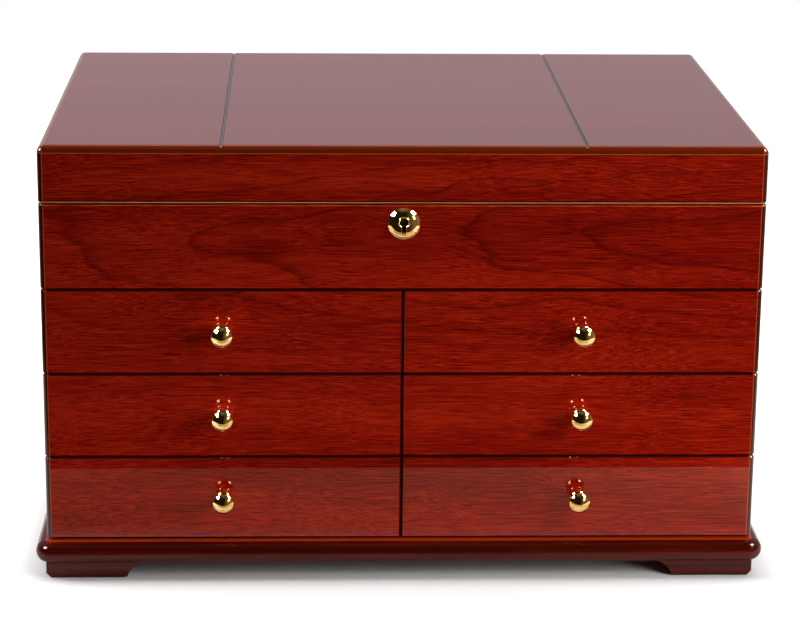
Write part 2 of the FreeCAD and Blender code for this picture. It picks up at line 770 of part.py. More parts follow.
def make_escutcheon():
    """A brass plate with a rolled outer edge, a low dome and a raised rim round the keyhole."""
    body = piece("escutcheon", ("0", FRONT, LOCK_CENTRE), FORWARD)
    dome_width = "(escutcheon_radius - escutcheon_roll_width)"
    roll_top = "(escutcheon_edge + escutcheon_roll_height)"
    dome_radius = f"({dome_width}^2 + escutcheon_dome^2) / (2 * escutcheon_dome)"
    turned(
        body,
        [
            ("0", "0"),
            ("escutcheon_radius", "0"),
            ("escutcheon_radius", "escutcheon_edge"),
            (dome_width, roll_top, "escutcheon_roll_round"),
            ("0", f"{roll_top} + escutcheon_dome", dome_radius),
        ],
    )
    rod(body, "key_radius + key_rim", "key_rim_height", ("0", "key_rise", "0"))
    block(
        body,
        ("key_slot_width + 2 * key_rim", "key_rise + key_slot_drop + key_rim", "key_rim_height"),
        ("-key_slot_width / 2 - key_rim", "-key_slot_drop - key_rim", "0"),
    )
    rod(body, "key_radius", "key_rim_height + 2", ("0", "key_rise", "-1"), cut=True)
    block(
        body,
        ("key_slot_width", "key_rise + key_slot_drop", "key_rim_height + 2"),
        ("-key_slot_width / 2", "-key_slot_drop", "-1"),
        cut=True,
    )


def staple_slot(side):
    """Size and low corner, in the humidor's frame, of a slot that lets a staple in."""
    size = (
        "staple_thickness + 2 * staple_slot_fit",
        "staple_width + 2 * staple_slot_fit",
        "lock_plate_thickness + 2",
    )
    low = (
        f"{side} * staple_place - staple_thickness / 2 - staple_slot_fit",
        f"{STAPLE_CENTRE} - staple_width / 2 - staple_slot_fit",
        f"{BODY_TOP} - lock_plate_thickness - 1",
    )
    return size, low


def make_lock_case():
    """A box open towards the front panel, with the plate let into the panel's top edge."""
    body = piece("lock_case")
    foot = f"({SEAM} - lock_foot_drop)"
    back_face = f"({FRONT} + front_thickness)"
    deep = "(front_thickness - lock_skin)"
    high = f"({BODY_TOP} - lock_plate_thickness / 2 - {foot})"
    box_low = ("-lock_half_width", f"{back_face} - {deep}", foot)
    block(body, ("2 * lock_half_width", deep, high), box_low)
    block(
        body,
        ("2 * (lock_half_width - lock_wall)", deep, f"{BODY_TOP} - lock_plate_thickness - lock_wall - {foot}"),
        ("lock_wall - lock_half_width", f"{back_face} - {deep} - lock_wall", f"{foot} + lock_wall"),
        cut=True,
    )
    block(
        body,
        ("lock_plate_length", "lock_plate_width", "lock_plate_thickness"),
        ("-lock_plate_length / 2", f"{back_face} - lock_plate_width", f"{BODY_TOP} - lock_plate_thickness"),
    )
    rod(
        body,
        "key_pin_radius",
        f"{deep} - lock_wall",
        ("0", f"{back_face} - {deep}", KEY_CENTRE),
        axis="y",
    )
    for side in (-1, 1):
        block(body, *staple_slot(side), cut=True)
        centre = (f"{side} * {LOCK_SCREW_PLACE}", f"{back_face} - lock_plate_width / 2")
        screw_hole(body, centre, BODY_TOP, "lock_plate_thickness", -1)


def make_lock_bolt():
    """The bolt's E-shaped plate: a bar with a notch for the key and two fingers."""
    bolt_low = f"{SEAM} - lock_foot_drop + lock_wall + bolt_clearance"
    place = ("0", f"{STAPLE_CENTRE} - bolt_thickness / 2", bolt_low)
    body = piece("lock_bolt", place)
    bar_top = f"({KEY_CENTRE} - key_pin_radius - bolt_pin_clearance - ({place[2]}))"
    finger_top = f"({KEY_CENTRE} + bolt_finger_rise - ({place[2]}))"
    notch_low = f"({KEY_CENTRE} - bolt_notch_drop - ({place[2]}))"
    starts = [
        f"({side} * staple_place - staple_thickness / 2 - bolt_clearance * 2 - bolt_finger - bolt_arm)"
        for side in (-1, 1)
    ]
    bar_long = "2 * staple_place + bolt_arm"
    block(body, (bar_long, "bolt_thickness", bar_top), (starts[0], "0", "0"))
    for start in starts:
        block(body, ("bolt_arm", "bolt_thickness", finger_top), (start, "0", "0"))
        finger_low = (start, "0", f"{finger_top} - bolt_finger_height")
        block(body, ("bolt_arm + bolt_finger", "bolt_thickness", "bolt_finger_height"), finger_low)
    notch = ("2 * key_radius", "bolt_thickness + 2", f"{bar_top} - {notch_low} + 1")
    block(body, notch, ("-key_radius - bolt_notch_shift", "-1", notch_low), cut=True)


def make_link_plate():
    """The plate let into the lid's front wall, with the two staples that the bolt goes through."""
    body = piece("link_plate", ("0", STAPLE_CENTRE, LID_LOW))
    plate_low = ("-lock_plate_length / 2", "-lock_plate_width / 2", "0")
    block(body, ("lock_plate_length", "lock_plate_width", "lock_plate_thickness"), plate_low)
    eye_low = f"({KEY_CENTRE} + bolt_finger_rise - bolt_finger_height - staple_eye_fit - {LID_LOW})"
    for side in (-1, 1):
        left = f"{side} * staple_place - staple_thickness / 2"
        block(
            body,
            ("staple_thickness", "staple_width", "staple_length + lock_plate_thickness / 2"),
            (left, "-staple_width / 2", "-staple_length"),
        )
        block(
            body,
            (
                "staple_thickness + 2",
                "bolt_thickness + 2 * staple_eye_fit",
                "bolt_finger_height + 2 * staple_eye_fit",
            ),
            (f"{left} - 1", "-bolt_thickness / 2 - staple_eye_fit", eye_low),
            cut=True,
        )
    for side in (-1, 1):
        screw_hole(body, (f"{side} * {LOCK_SCREW_PLACE}", "0"), "0", "lock_plate_thickness", 1)


# Hinges and countersunk screws


def screw_hole(body, centre, surface, thickness, into):
    """A countersunk hole through a plate, whose screw goes down (into -1) or up (into 1)."""
    head = "(screw_head_radius + screw_fit)"
    shank = "(screw_shank_radius + screw_fit)"
    if into < 0:
        taper(body, shank, head, "screw_head_height", (*centre, f"{surface} - screw_head_height"))
        hole_low = f"{surface} - {thickness} - 0.5"
    else:
        taper(body, head, shank, "screw_head_height", (*centre, surface))
        hole_low = f"{surface}"
    rod(body, shank, f"{thickness} + 0.5", (*centre, hole_low), cut=True)


def make_screw(name, centre, surface, into):
    """A countersunk wood screw whose head is flush with the surface."""
    head = doc.addObject("Part::Cone", f"{name}_head")
    shank = doc.addObject("Part::Cylinder", f"{name}_shank")
    bind(head, Height="screw_head_height")
    bind(shank, Radius="screw_shank_radius", Height="screw_length - screw_head_height / 2")
    if into < 0:
        bind(head, Radius1="screw_shank_radius", Radius2="screw_head_radius")
        head_low = f"{surface} - screw_head_height"
        shank_low = f"{surface} - screw_length"
    else:
        bind(head, Radius1="screw_head_radius", Radius2="screw_shank_radius")
        head_low = surface
        shank_low = f"{surface} + screw_head_height / 2"
    bind_place(head, (*centre, head_low))
    bind_place(shank, (*centre, shank_low))
    screw = doc.addObject("Part::MultiFuse", name)
    screw.Shapes = [head, shank]
    return screw


def hinge_screw_centres():
    return [
        (f"{side} * hinge_place + {step} * hinge_screw_pitch", f"{BACK} - leaf_width / 2")
        for side in (-1, 1)
        for step in (-0.5, 0.5)
    ]


def make_hinge_leaf(name, side, into, knuckles):
    """A leaf let into an edge, with its share of the three knuckles around the pin."""
    surface = BODY_TOP if into < 0 else LID_LOW
    plate_low = f"({surface} - leaf_thickness)" if into < 0 else surface
    left = f"({side} * hinge_place - hinge_length / 2)"
    body = piece(name)
    del parts[name]
    block(body, ("hinge_length", "leaf_width", "leaf_thickness"), (left, f"{BACK} - leaf_width", plate_low))
    knuckle_long = "(hinge_length / 3 - knuckle_gap)"
    for knuckle in knuckles:
        start = f"({left} + {knuckle} * hinge_length / 3 + knuckle_gap / 2)"
        bridge = (knuckle_long, f"{HINGE_AXIS} - {BACK} + 1", "leaf_thickness")
        block(body, bridge, (start, f"{BACK} - 1", plate_low))
        rod(body, "knuckle_radius", knuckle_long, (start, HINGE_AXIS, SEAM), axis="x")
    pin_hole = "pin_radius + pin_fit"
    rod(body, pin_hole, "hinge_length + 2", (f"{left} - 1", HINGE_AXIS, SEAM), axis="x", cut=True)
    for step in (-0.5, 0.5):
        centre = (f"{side} * hinge_place + {step} * hinge_screw_pitch", f"{BACK} - leaf_width / 2")
        screw_hole(body, centre, surface, "leaf_thickness", into)
    return body


def make_hinges():
    case_leaves = []
    lid_leaves = []
    pins = []
    for side, word in ((-1, "left"), (1, "right")):
        case_leaves.append(make_hinge_leaf(f"case_leaf_{word}", side, -1, (0, 2)))
        lid_leaves.append(make_hinge_leaf(f"lid_leaf_{word}", side, 1, (1,)))
        pin = doc.addObject("Part::Cylinder", f"hinge_pin_{word}")
        pin.Placement = Placement(Vector(), ROD_TURNS["x"])
        bind(pin, Radius="pin_radius", Height="hinge_length")
        bind_place(pin, (f"{side} * hinge_place - hinge_length / 2", HINGE_AXIS, SEAM))
        pins.append(pin)
    grouped("hinge_case_leaves", case_leaves)
    grouped("hinge_lid_leaves", lid_leaves)
    grouped("hinge_pins", pins)


def make_screws():
    case_places = hinge_screw_centres()
    lid_places = hinge_screw_centres()
    for side in (-1, 1):
        lock_y = f"{FRONT} + front_thickness - lock_plate_width / 2"
        case_places.append((f"{side} * {LOCK_SCREW_PLACE}", lock_y))
        lid_places.append((f"{side} * {LOCK_SCREW_PLACE}", STAPLE_CENTRE))
    for name, places, surface, into in (
        ("case_screws", case_places, BODY_TOP, -1),
        ("lid_screws", lid_places, LID_LOW, 1),
    ):
        screws = [
            make_screw(f"{name}_{number}", centre, surface, into)
            for number, centre in enumerate(places)
        ]
        grouped(name, screws)


# Drawers: overlaid front, cedar box with a grooved-in bottom, and a brass ball knob


DRAWER_OPENING = f"({INNER_SIDE} - column_thickness / 2)"
DRAWER_WIDTH = f"({DRAWER_OPENING} - 2 * drawer_side_clearance)"
DRAWER_LENGTH = f"({INNER_DEPTH} - drawer_back_clearance)"
DRAWER_HEIGHT = "(row_pitch - shelf_thickness - drawer_top_clearance - drawer_under_clearance)"
GROOVED_WIDTH = f"({DRAWER_WIDTH} - 2 * drawer_wall + 2 * drawer_groove_depth)"
GROOVED_LENGTH = f"({DRAWER_LENGTH} - 2 * drawer_wall + 2 * drawer_groove_depth)"
FRONT_WIDTH = "(case_width / 2 - row_gap / 2)"


def make_drawer_front(name, side, line):
    outer, inner = ("left", "right") if side < 0 else ("right", "left")
    low_x = "-case_width / 2" if side < 0 else "row_gap / 2"
    body = piece(name, (low_x, FRONT, f"{line} + row_gap / 2"))
    high = "(row_pitch - row_gap)"
    block(body, (FRONT_WIDTH, "front_thickness", high), ("0", "0", "0"))
    rounded(body, "corner_round", (outer, "front"))
    chamfered(body, "front_edge_ease", (inner, "front"), ("top",), ("bottom",), off=("back",))
    knob_place = (f"{side} * {KNOB_PLACE} - ({low_x})", "-1", f"{high} / 2 + knob_rise")
    hole_long = "knob_stud_length + knob_hole_spare + 1"
    rod(body, "knob_stud_radius + knob_stud_fit", hole_long, knob_place, axis="y", cut=True)


def drawer_box_place(side, line):
    centre = f"{side} * (column_thickness / 2 + {DRAWER_OPENING} / 2)"
    return (centre, INNER_FRONT, f"{line} + shelf_thickness / 2 + drawer_under_clearance")


def make_drawer_box(name, side, line):
    """Four cedar walls with a groove all round for the bottom."""
    body = piece(name, drawer_box_place(side, line))
    block(body, (DRAWER_WIDTH, DRAWER_LENGTH, DRAWER_HEIGHT), (f"-{DRAWER_WIDTH} / 2", "0", "0"))
    inside = (f"{DRAWER_WIDTH} - 2 * drawer_wall", f"{DRAWER_LENGTH} - 2 * drawer_wall")
    inside_low = (f"drawer_wall - {DRAWER_WIDTH} / 2", "drawer_wall", "-1")
    block(body, (*inside, f"{DRAWER_HEIGHT} + 2"), inside_low, cut=True)
    groove_low = (f"-{GROOVED_WIDTH} / 2", "drawer_wall - drawer_groove_depth", "drawer_bottom_rise")
    block(body, (GROOVED_WIDTH, GROOVED_LENGTH, "drawer_bottom_thickness"), groove_low, cut=True)


def make_drawer_bottom(name, side, line):
    body = piece(name, drawer_box_place(side, line))
    size = (
        f"{GROOVED_WIDTH} - 2 * drawer_groove_fit",
        f"{GROOVED_LENGTH} - 2 * drawer_groove_fit",
        "drawer_bottom_thickness",
    )
    low = (
        f"drawer_groove_fit - {GROOVED_WIDTH} / 2",
        "drawer_wall - drawer_groove_depth + drawer_groove_fit",
        "drawer_bottom_rise",
    )
    block(body, size, low)


def make_knob(name, side, line):
    """A ball that sits on a collar, with a waisted neck, a small base and a stud."""
    ball_centre = "(knob_reach - knob_ball_radius)"
    waist = f"({ball_centre} - sqrt(knob_ball_radius^2 - knob_waist_radius^2))"
    collar_low = f"({waist} - knob_collar_height)"
    collar_flat = "knob_collar_radius - knob_collar_bevel"
    place = (f"{side} * {KNOB_PLACE}", FRONT, f"{line} + row_pitch / 2 + knob_rise")
    body = piece(name, place, FORWARD)
    turned(
        body,
        [
            ("0", "-knob_stud_length"),
            ("knob_stud_radius", "-knob_stud_length"),
            ("knob_stud_radius", "0"),
            ("knob_base_radius", "0"),
            ("knob_base_radius", "knob_base_height"),
            ("knob_neck_radius", "knob_neck_height"),
            ("knob_neck_radius", collar_low),
            (collar_flat, collar_low),
            ("knob_collar_radius", f"{collar_low} + knob_collar_bevel"),
            ("knob_collar_radius", f"{waist} - knob_collar_bevel"),
            (collar_flat, waist),
            ("knob_waist_radius", waist),
            ("0", "knob_reach", "knob_ball_radius"),
        ],
    )


def make_drawers():
    """Six drawers: top, middle and bottom rows on the left and on the right."""
    for side, word in ((-1, "left"), (1, "right")):
        for line, row in zip(reversed(ROW_LINES[:3]), ("top", "middle", "bottom")):
            name = f"drawer_{row}_{word}"
            make_drawer_front(f"{name}_front", side, line)
            make_drawer_box(f"{name}_box", side, line)
            make_drawer_bottom(f"{name}_bottom", side, line)
            make_knob(f"{name}_knob", side, line)


def make_humidor():
    make_side("left_side", "left")
    make_side("right_side", "right")
    make_back_panel()
    make_front_panel()
    make_shelf("chest_floor", CHEST_LINE)
    make_shelf("upper_shelf", ROW_LINES[2])
    make_shelf("lower_shelf", ROW_LINES[1])
    make_column_dividers()
    make_base_board()
    make_plinth()
    make_feet()
    make_foot_pads()
    make_cedar_lining()
    make_chest_divider("chest_divider_left", -1)
    make_chest_divider("chest_divider_right", 1)
    make_lid_top()
    make_lid_frame()
    make_lid_lining()
    make_hygrometer()
    make_humidifier()
    make_escutcheon()
    make_lock_case()
    make_lock_bolt()
    make_link_plate()
    make_hinges()
    make_screws()
    make_drawers()
    doc.recompute()


def check_document():
    """Stop before anything is written if an object failed or a sub-part isn't a sound solid."""
    for thing in doc.Objects:
        if {"Invalid", "Error"} & set(thing.State):
            raise RuntimeError(f"{thing.Label} failed: {thing.State}")
    for name, thing in parts.items():
        if thing.Shape.isNull() or not thing.Shape.isValid() or not thing.Shape.Solids:
            raise RuntimeError(f"{name} has no sound solid")


def write_parts():
    os.makedirs("parts", exist_ok=True)
    for name, thing in parts.items():
        thing.Shape.exportStep(f"parts/{name}.step")
    print(f"{len(parts)} sub-parts written")


make_humidor()
check_document()
write_parts()
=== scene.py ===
# %% [markdown]
# # A lacquered cigar humidor
#
# The humidor's boards, hinges and lock come ready made, at their real size, from a packed
# model. This lesson adds what a maker would call the finish: stained cherry veneer under thick
# gloss lacquer, unfinished cedar inside, polished brass, and the printed dial of the
# hygrometer. It turns the knobs and presses the escutcheon, and it sets up the studio that
# such a glossy box is photographed in.
#
# Everything is in metres. X runs to the right along the front, Y to the back and Z up.

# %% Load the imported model
import math

import bmesh
import bpy
from mathutils import Matrix, Vector


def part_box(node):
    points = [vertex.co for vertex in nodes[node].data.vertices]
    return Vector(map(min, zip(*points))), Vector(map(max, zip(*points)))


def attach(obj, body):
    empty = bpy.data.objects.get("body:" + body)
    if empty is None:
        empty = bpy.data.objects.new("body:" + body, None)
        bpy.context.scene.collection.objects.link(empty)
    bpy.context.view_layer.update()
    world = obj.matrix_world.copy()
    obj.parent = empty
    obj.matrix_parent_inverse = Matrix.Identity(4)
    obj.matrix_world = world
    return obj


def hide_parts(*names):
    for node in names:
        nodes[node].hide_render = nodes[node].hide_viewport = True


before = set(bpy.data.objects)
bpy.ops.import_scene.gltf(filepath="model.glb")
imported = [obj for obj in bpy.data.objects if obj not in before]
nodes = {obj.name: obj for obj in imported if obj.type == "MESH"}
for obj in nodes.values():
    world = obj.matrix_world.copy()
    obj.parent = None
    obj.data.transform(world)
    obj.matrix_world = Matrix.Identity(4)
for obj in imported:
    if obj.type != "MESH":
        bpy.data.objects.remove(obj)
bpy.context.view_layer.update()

MM = 0.001

# %% [markdown]
# ## The lines that everything shares
#
# The boards of the case meet in a few planes: the face of the fronts, the back, the sides, the
# lid's seam and the top. The finish follows the edges of these planes, so they are read once
# from the pieces themselves. A finish that is tied to the pieces still fits when they change.

# %% Read the case's planes from its pieces
PANEL_THICKNESS = 12 * MM
BACK_THICKNESS = 9 * MM

_, lid_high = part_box("lid_top")
frame_low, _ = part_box("lid_frame")
panel_low, panel_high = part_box("front_panel")
_, side_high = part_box("right_side")
case_half_width = side_high.x
case_front = panel_high.y - PANEL_THICKNESS
case_back = side_high.y + BACK_THICKNESS
case_top = lid_high.z
seam = (panel_high.z + frame_low.z) / 2
print(f"case {case_half_width * 2000:.1f} mm wide, seam at {seam * 1000:.1f} mm")

# %% [markdown]
# ## The camera
#
# The box was photographed from a little above with a long lens, so its front is almost square
# and its top is a thin trapezium. A camera is described by where it stands, the way it looks
# and its lens. Yaw, pitch and roll are easier to reason about than a matrix, so the three axes
# of the camera are worked out from them and put together at the end.

# %% Place the camera
LENS_MM = 117.34
SENSOR_MM = 36
CAMERA_FROM_LID_FRONT = Vector((-0.05799, -1.45866, 0.31438))
YAW = math.radians(2.207)
PITCH = math.radians(15.717)
ROLL = math.radians(0.594)

look = Vector((
    math.sin(YAW) * math.cos(PITCH),
    math.cos(YAW) * math.cos(PITCH),
    -math.sin(PITCH),
))
level_right = Vector((math.cos(YAW), -math.sin(YAW), 0))
level_up = level_right.cross(look)
right = math.cos(ROLL) * level_right + math.sin(ROLL) * level_up
up = math.cos(ROLL) * level_up - math.sin(ROLL) * level_right

camera_data = bpy.data.cameras.new("camera")
camera_data.lens = LENS_MM
camera_data.sensor_width = SENSOR_MM
camera = bpy.data.objects.new("camera", camera_data)
bpy.context.scene.collection.objects.link(camera)
camera.matrix_world = Matrix.Translation(
    Vector((0, case_front, case_top)) + CAMERA_FROM_LID_FRONT
) @ Matrix((right, up, -look)).transposed().to_4x4()
bpy.context.scene.camera = camera
print(f"camera at {tuple(round(c, 3) for c in camera.matrix_world.translation)}")

# %% [markdown]
# ## Building materials from nodes
#
# A procedural material is a small graph. Writing the graph in code is tidy once there is one
# helper that makes a node, fills its sockets and links what is already a socket. A second
# helper does arithmetic, since most patterns are sums and products of coordinates. Two more
# take a vector apart into X, Y and Z and put one together.


# %% Helpers for shader graphs
def node(tree, kind, inputs=None, **settings):
    """Make a node; an input that is a socket is linked, and any other is set."""
    made = tree.nodes.new(kind)
    for name, setting in settings.items():
        setattr(made, name, setting)
    for key, content in (inputs or {}).items():
        if isinstance(content, bpy.types.NodeSocket):
            tree.links.new(content, made.inputs[key])
        else:
            made.inputs[key].default_value = content
    return made


def calc(tree, operation, *operands, clamp=False):
    """One arithmetic step; returns the socket that holds the result."""
    step = node(tree, "ShaderNodeMath", dict(enumerate(operands)), operation=operation)
    step.use_clamp = clamp
    return step.outputs[0]


def product(tree, result, *others):
    """Several numbers or masks multiplied; masks that are 0 or 1 are joined with 'and' by it."""
    for other in others:
        result = calc(tree, "MULTIPLY", result, other)
    return result


def split(tree, vector):
    """The X, Y and Z of a vector, as three sockets."""
    return node(tree, "ShaderNodeSeparateXYZ", {0: vector}).outputs[:]


def joined(tree, x=0.0, y=0.0, z=0.0):
    """A vector of three numbers or sockets."""
    return node(tree, "ShaderNodeCombineXYZ", {0: x, 1: y, 2: z}).outputs[0]


# %% [markdown]
# ## Which way the grain runs
#
# A cabinet maker lays the veneer so that its grain runs along the length of every board: left to
# right on the fronts, the top and the back, and front to back on the two sides. The object's
# own coordinates give the place on the board, and its own normal tells which side we are on.
# Both move with the piece, so a drawer keeps its grain when it slides out.
#
# The mix node has a pair of inputs and an output for each kind of data, and it knows them by
# number, so the numbers get names here.

# %% Grain coordinates
FIRST_VECTOR, SECOND_VECTOR, MIXED_VECTOR = 4, 5, 1
SINE_45 = 0.707


def grain_place(tree):
    """The place with the grain along X, and the plain place and normal as X, Y and Z."""
    coordinates = node(tree, "ShaderNodeTexCoord")
    place = coordinates.outputs["Object"]
    normal = split(tree, coordinates.outputs["Normal"])
    axes = split(tree, place)
    faces_sideways = calc(tree, "GREATER_THAN", calc(tree, "ABSOLUTE", normal[0]), SINE_45)
    turned = joined(tree, axes[1], axes[0], axes[2])
    choice = {0: faces_sideways, FIRST_VECTOR: place, SECOND_VECTOR: turned}
    along = node(tree, "ShaderNodeMix", choice, data_type="VECTOR")
    return along.outputs[MIXED_VECTOR], axes, normal


# %% [markdown]
# ## Patterns in wood
#
# Nothing in wood is quite even, but everything in it has a direction. Fractal noise gives the
# unevenness. Looked at through coordinates that are squeezed far more across the grain than along
# it, the same noise turns into waves, streaks or pores. A third helper picks out part of a range
# with soft ends, and turns noise into a mask.


# %% Noise, stretching and soft ranges
def noise(tree, place, scale=1.0, detail=3.0, roughness=0.5):
    """Fractal noise between 0 and 1."""
    settings = {"Vector": place, "Scale": scale, "Detail": detail, "Roughness": roughness}
    return node(tree, "ShaderNodeTexNoise", settings).outputs[0]


def stretched(tree, place, scale):
    """The same place seen through another scale along each axis."""
    return node(tree, "ShaderNodeMapping", {"Vector": place, "Scale": scale}).outputs[0]


def between(tree, content, low, high, to_low=0.0, to_high=1.0):
    """Map a number from one range to another, with soft ends."""
    ranges = {"Value": content, 1: low, 2: high, 3: to_low, 4: to_high}
    return node(tree, "ShaderNodeMapRange", ranges, interpolation_type="SMOOTHSTEP").outputs[0]


def swing(tree, place, stretch, amount):
    """A soft random shift to either side of 0, at most half the amount."""
    pattern = noise(tree, stretched(tree, place, stretch), detail=2)
    return calc(tree, "MULTIPLY", calc(tree, "SUBTRACT", pattern, 0.5), amount)


# %% [markdown]
# ## Growth rings
#
# Veneer that is sliced flat from a log shows its growth rings as long nested arches, which a
# cabinet maker calls cathedrals. A board cut from a slightly tapering trunk meets each ring in
# a very long ellipse, so the rings are drawn as distance from a heart line, with the distance
# along the grain counted at a tenth. The wood gets darker towards the end of each ring and
# starts light again, which is a saw-tooth pattern; a high power keeps it light for most of the
# way.
#
# The lid and the panel below it were veneered in one go and then sawn apart, so the arches run
# on through the seam. One field over the whole front does the same here.

# %% Rings of the cathedral figure
HEART_ALONG = 0.35
HEART_UNDER_SEAM = 0.023
TRUNK_TAPER = 0.103
RING_WIDTH = 0.0118
RING_SHARPNESS = 13.0
RING_FADES_FROM = 0.94
CLEAR_RADIUS = 0.045
FAINT_RADIUS = 0.085
FAINT = 0.3
BROAD_WANDER = (9.0, 26.0, 26.0)
BROAD_SWING = 0.022
SMALL_WANDER = (30.0, 110.0, 110.0)
SMALL_SWING = 0.004


def heart_distance(tree, place, heart_across):
    """Distance from the heart of the trunk, as a board cut along it meets the rings."""
    x, y, z = split(tree, place)
    across = calc(tree, "SUBTRACT", calc(tree, "ADD", y, z), heart_across)
    along = calc(tree, "MULTIPLY", calc(tree, "SUBTRACT", x, HEART_ALONG), TRUNK_TAPER)
    squares = [calc(tree, "POWER", distance, 2.0) for distance in (across, along)]
    return calc(tree, "SQRT", calc(tree, "ADD", *squares))


def ring_darkness(tree, place, heart_across):
    """0 in the light wood of a ring, rising to 1 in the thin dark line that ends it."""
    radius = heart_distance(tree, place, heart_across)
    broad = swing(tree, place, BROAD_WANDER, BROAD_SWING)
    small = swing(tree, place, SMALL_WANDER, SMALL_SWING)
    uneven = calc(tree, "ADD", radius, calc(tree, "ADD", broad, small))
    ring = calc(tree, "FRACT", calc(tree, "DIVIDE", uneven, RING_WIDTH))
    rise = calc(tree, "POWER", ring, RING_SHARPNESS)
    soft_end = between(tree, ring, RING_FADES_FROM, 1.0, 1.0, 0.0)
    near_heart = between(tree, radius, CLEAR_RADIUS, FAINT_RADIUS, 1.0, FAINT)
    return product(tree, rise, soft_end, near_heart)


print(f"a ring every {RING_WIDTH * 1000:.1f} mm, clear up to {CLEAR_RADIUS * 1000:.0f} mm out")

# %% [markdown]
# ## Blending colours
#
# Colours meet in two ways. A mask lets one colour over another, as a stain does, and a ramp turns
# the tone of the wood into a colour between dark and light.

# %% Mixing and ramps
FIRST_COLOUR, SECOND_COLOUR, MIXED_COLOUR = 6, 7, 2


def mix(tree, factor, first, second):
    """The first colour where the factor is 0, and the second where it is 1."""
    choice = {0: factor, FIRST_COLOUR: first, SECOND_COLOUR: second}
    return node(tree, "ShaderNodeMix", choice, data_type="RGBA").outputs[MIXED_COLOUR]


def ramp(tree, factor, first, last, *others):
    """Map a number to a colour; each stop is (place, colour), the two ends first."""
    colours = node(tree, "ShaderNodeValToRGB", {0: factor})
    elements = colours.color_ramp.elements
    for element, (place, colour) in zip(elements, (first, last)):
        element.position = place
        element.color = colour
    for place, colour in others:
        elements.new(place).color = colour
    return colours.outputs[0]


def blend(tree, first, first_share, second):
    """Two patterns added, each by its share."""
    first_part = calc(tree, "MULTIPLY", first, first_share)
    return calc(tree, "ADD", first_part, calc(tree, "MULTIPLY", second, 1 - first_share))


# %% [markdown]
# ## Cherry veneer
#
# Stained cherry is a deep red with broad light and dark waves, fine streaks, and short dark
# pores that always follow the grain. Each is noise that is stretched along the grain by its own
# amount. A slow wander of the coordinates keeps the streaks from looking ruled.

# %% The veneer's colour
CHERRY_DARK = (0.115, 0.0022, 0.0008, 1)
CHERRY_MID = (0.260, 0.0072, 0.0022, 1)
CHERRY_LIGHT = (0.420, 0.0200, 0.0052, 1)
CHERRY_PORE = (0.060, 0.0010, 0.0005, 1)
RING_END = (0.085, 0.0016, 0.0007, 1)
RING_STRENGTH = 1.3
BEND_WANDER = (5.0, 12.0, 12.0)
BEND_SWING = 0.022
WAVES = (3.0, 45.0, 45.0)
WAVE_SHARE = 0.35
STREAKS = (40.0, 2100.0, 2100.0)
PORES = (75.0, 3200.0, 3200.0)
PORE_FROM, PORE_FULL, PORE_STRENGTH = 0.56, 0.70, 0.75
DARK_TONE, MID_TONE, LIGHT_TONE = 0.35, 0.50, 0.65


def cherry_colour(tree, place, heart_across):
    """Colour of the stained veneer at a place whose grain runs along X."""
    wave = swing(tree, place, BEND_WANDER, BEND_SWING)
    shift = joined(tree, y=wave, z=wave)
    bent = node(tree, "ShaderNodeVectorMath", {0: place, 1: shift}, operation="ADD").outputs[0]
    waves = noise(tree, stretched(tree, bent, WAVES))
    streaks = noise(tree, stretched(tree, bent, STREAKS), detail=2, roughness=0.6)
    tone = blend(tree, waves, WAVE_SHARE, streaks)
    ends = ((DARK_TONE, CHERRY_DARK), (LIGHT_TONE, CHERRY_LIGHT))
    colour = ramp(tree, tone, *ends, (MID_TONE, CHERRY_MID))
    rings = ring_darkness(tree, place, heart_across)
    colour = mix(tree, calc(tree, "MULTIPLY", rings, RING_STRENGTH, clamp=True), colour, RING_END)
    pores = noise(tree, stretched(tree, bent, PORES), detail=1)
    pore_mask = between(tree, pores, PORE_FROM, PORE_FULL, 0.0, PORE_STRENGTH)
    return mix(tree, pore_mask, colour, CHERRY_PORE)


print(f"streaks some {1000 / STREAKS[1]:.1f} mm wide and {1000 / STREAKS[0]:.0f} mm long")

# %% [markdown]
# ## Masks for edges
#
# The outer edges of the real case are rounded over and stained darker, and a thin pale line runs
# where the veneer ends and the rounding begins. Painting these by hand isn't needed: such a line
# is simply at a fixed distance from an outer plane of the case. A narrow band function gives 1
# close to such a line and 0 elsewhere, and a step gives 1 beyond it.

# %% Bands and steps
BAND_CORE = 0.5


def band(tree, position, centre, half_width):
    """1 on a line at the centre, fading to 0 at half a width from it."""
    distance = calc(tree, "ABSOLUTE", calc(tree, "SUBTRACT", position, centre))
    return between(tree, distance, half_width * BAND_CORE, half_width, 1.0, 0.0)


def beyond(tree, position, limit):
    """1 where the position has passed the limit."""
    return calc(tree, "GREATER_THAN", position, limit)


def short_of(tree, position, limit):
    """1 where the position hasn't reached the limit."""
    return calc(tree, "LESS_THAN", position, limit)


def largest(tree, result, *others):
    """The largest of several masks, which joins them with 'or'."""
    for other in others:
        result = calc(tree, "MAXIMUM", result, other)
    return result


# %% [markdown]
# ## Rounded edges under lacquer
#
# The upright corners are rounded by almost 3 mm and the lid's top edge by a little more. Both
# are the same on the left and on the right, and on the front and on the back, so one distance
# from the middle of the case, sideways and in depth, serves both.

# %% Corners, lid edge and pale lines
CORNER_ROUND = 2.9 * MM
LID_ROUND = 4.3 * MM
LINE_HALF_WIDTH = 0.27 * MM
half_depth = (case_back - case_front) / 2


def off_middle(tree, axes):
    """How far a place is from the middle of the case, sideways and in depth."""
    from_middle = calc(tree, "SUBTRACT", axes[1], (case_front + case_back) / 2)
    return calc(tree, "ABSOLUTE", axes[0]), calc(tree, "ABSOLUTE", from_middle)


def corner_mask(tree, axes):
    """1 on the rounded upright corners."""
    across, deep = off_middle(tree, axes)
    off_side = beyond(tree, across, case_half_width - CORNER_ROUND)
    return product(tree, off_side, beyond(tree, deep, half_depth - CORNER_ROUND))


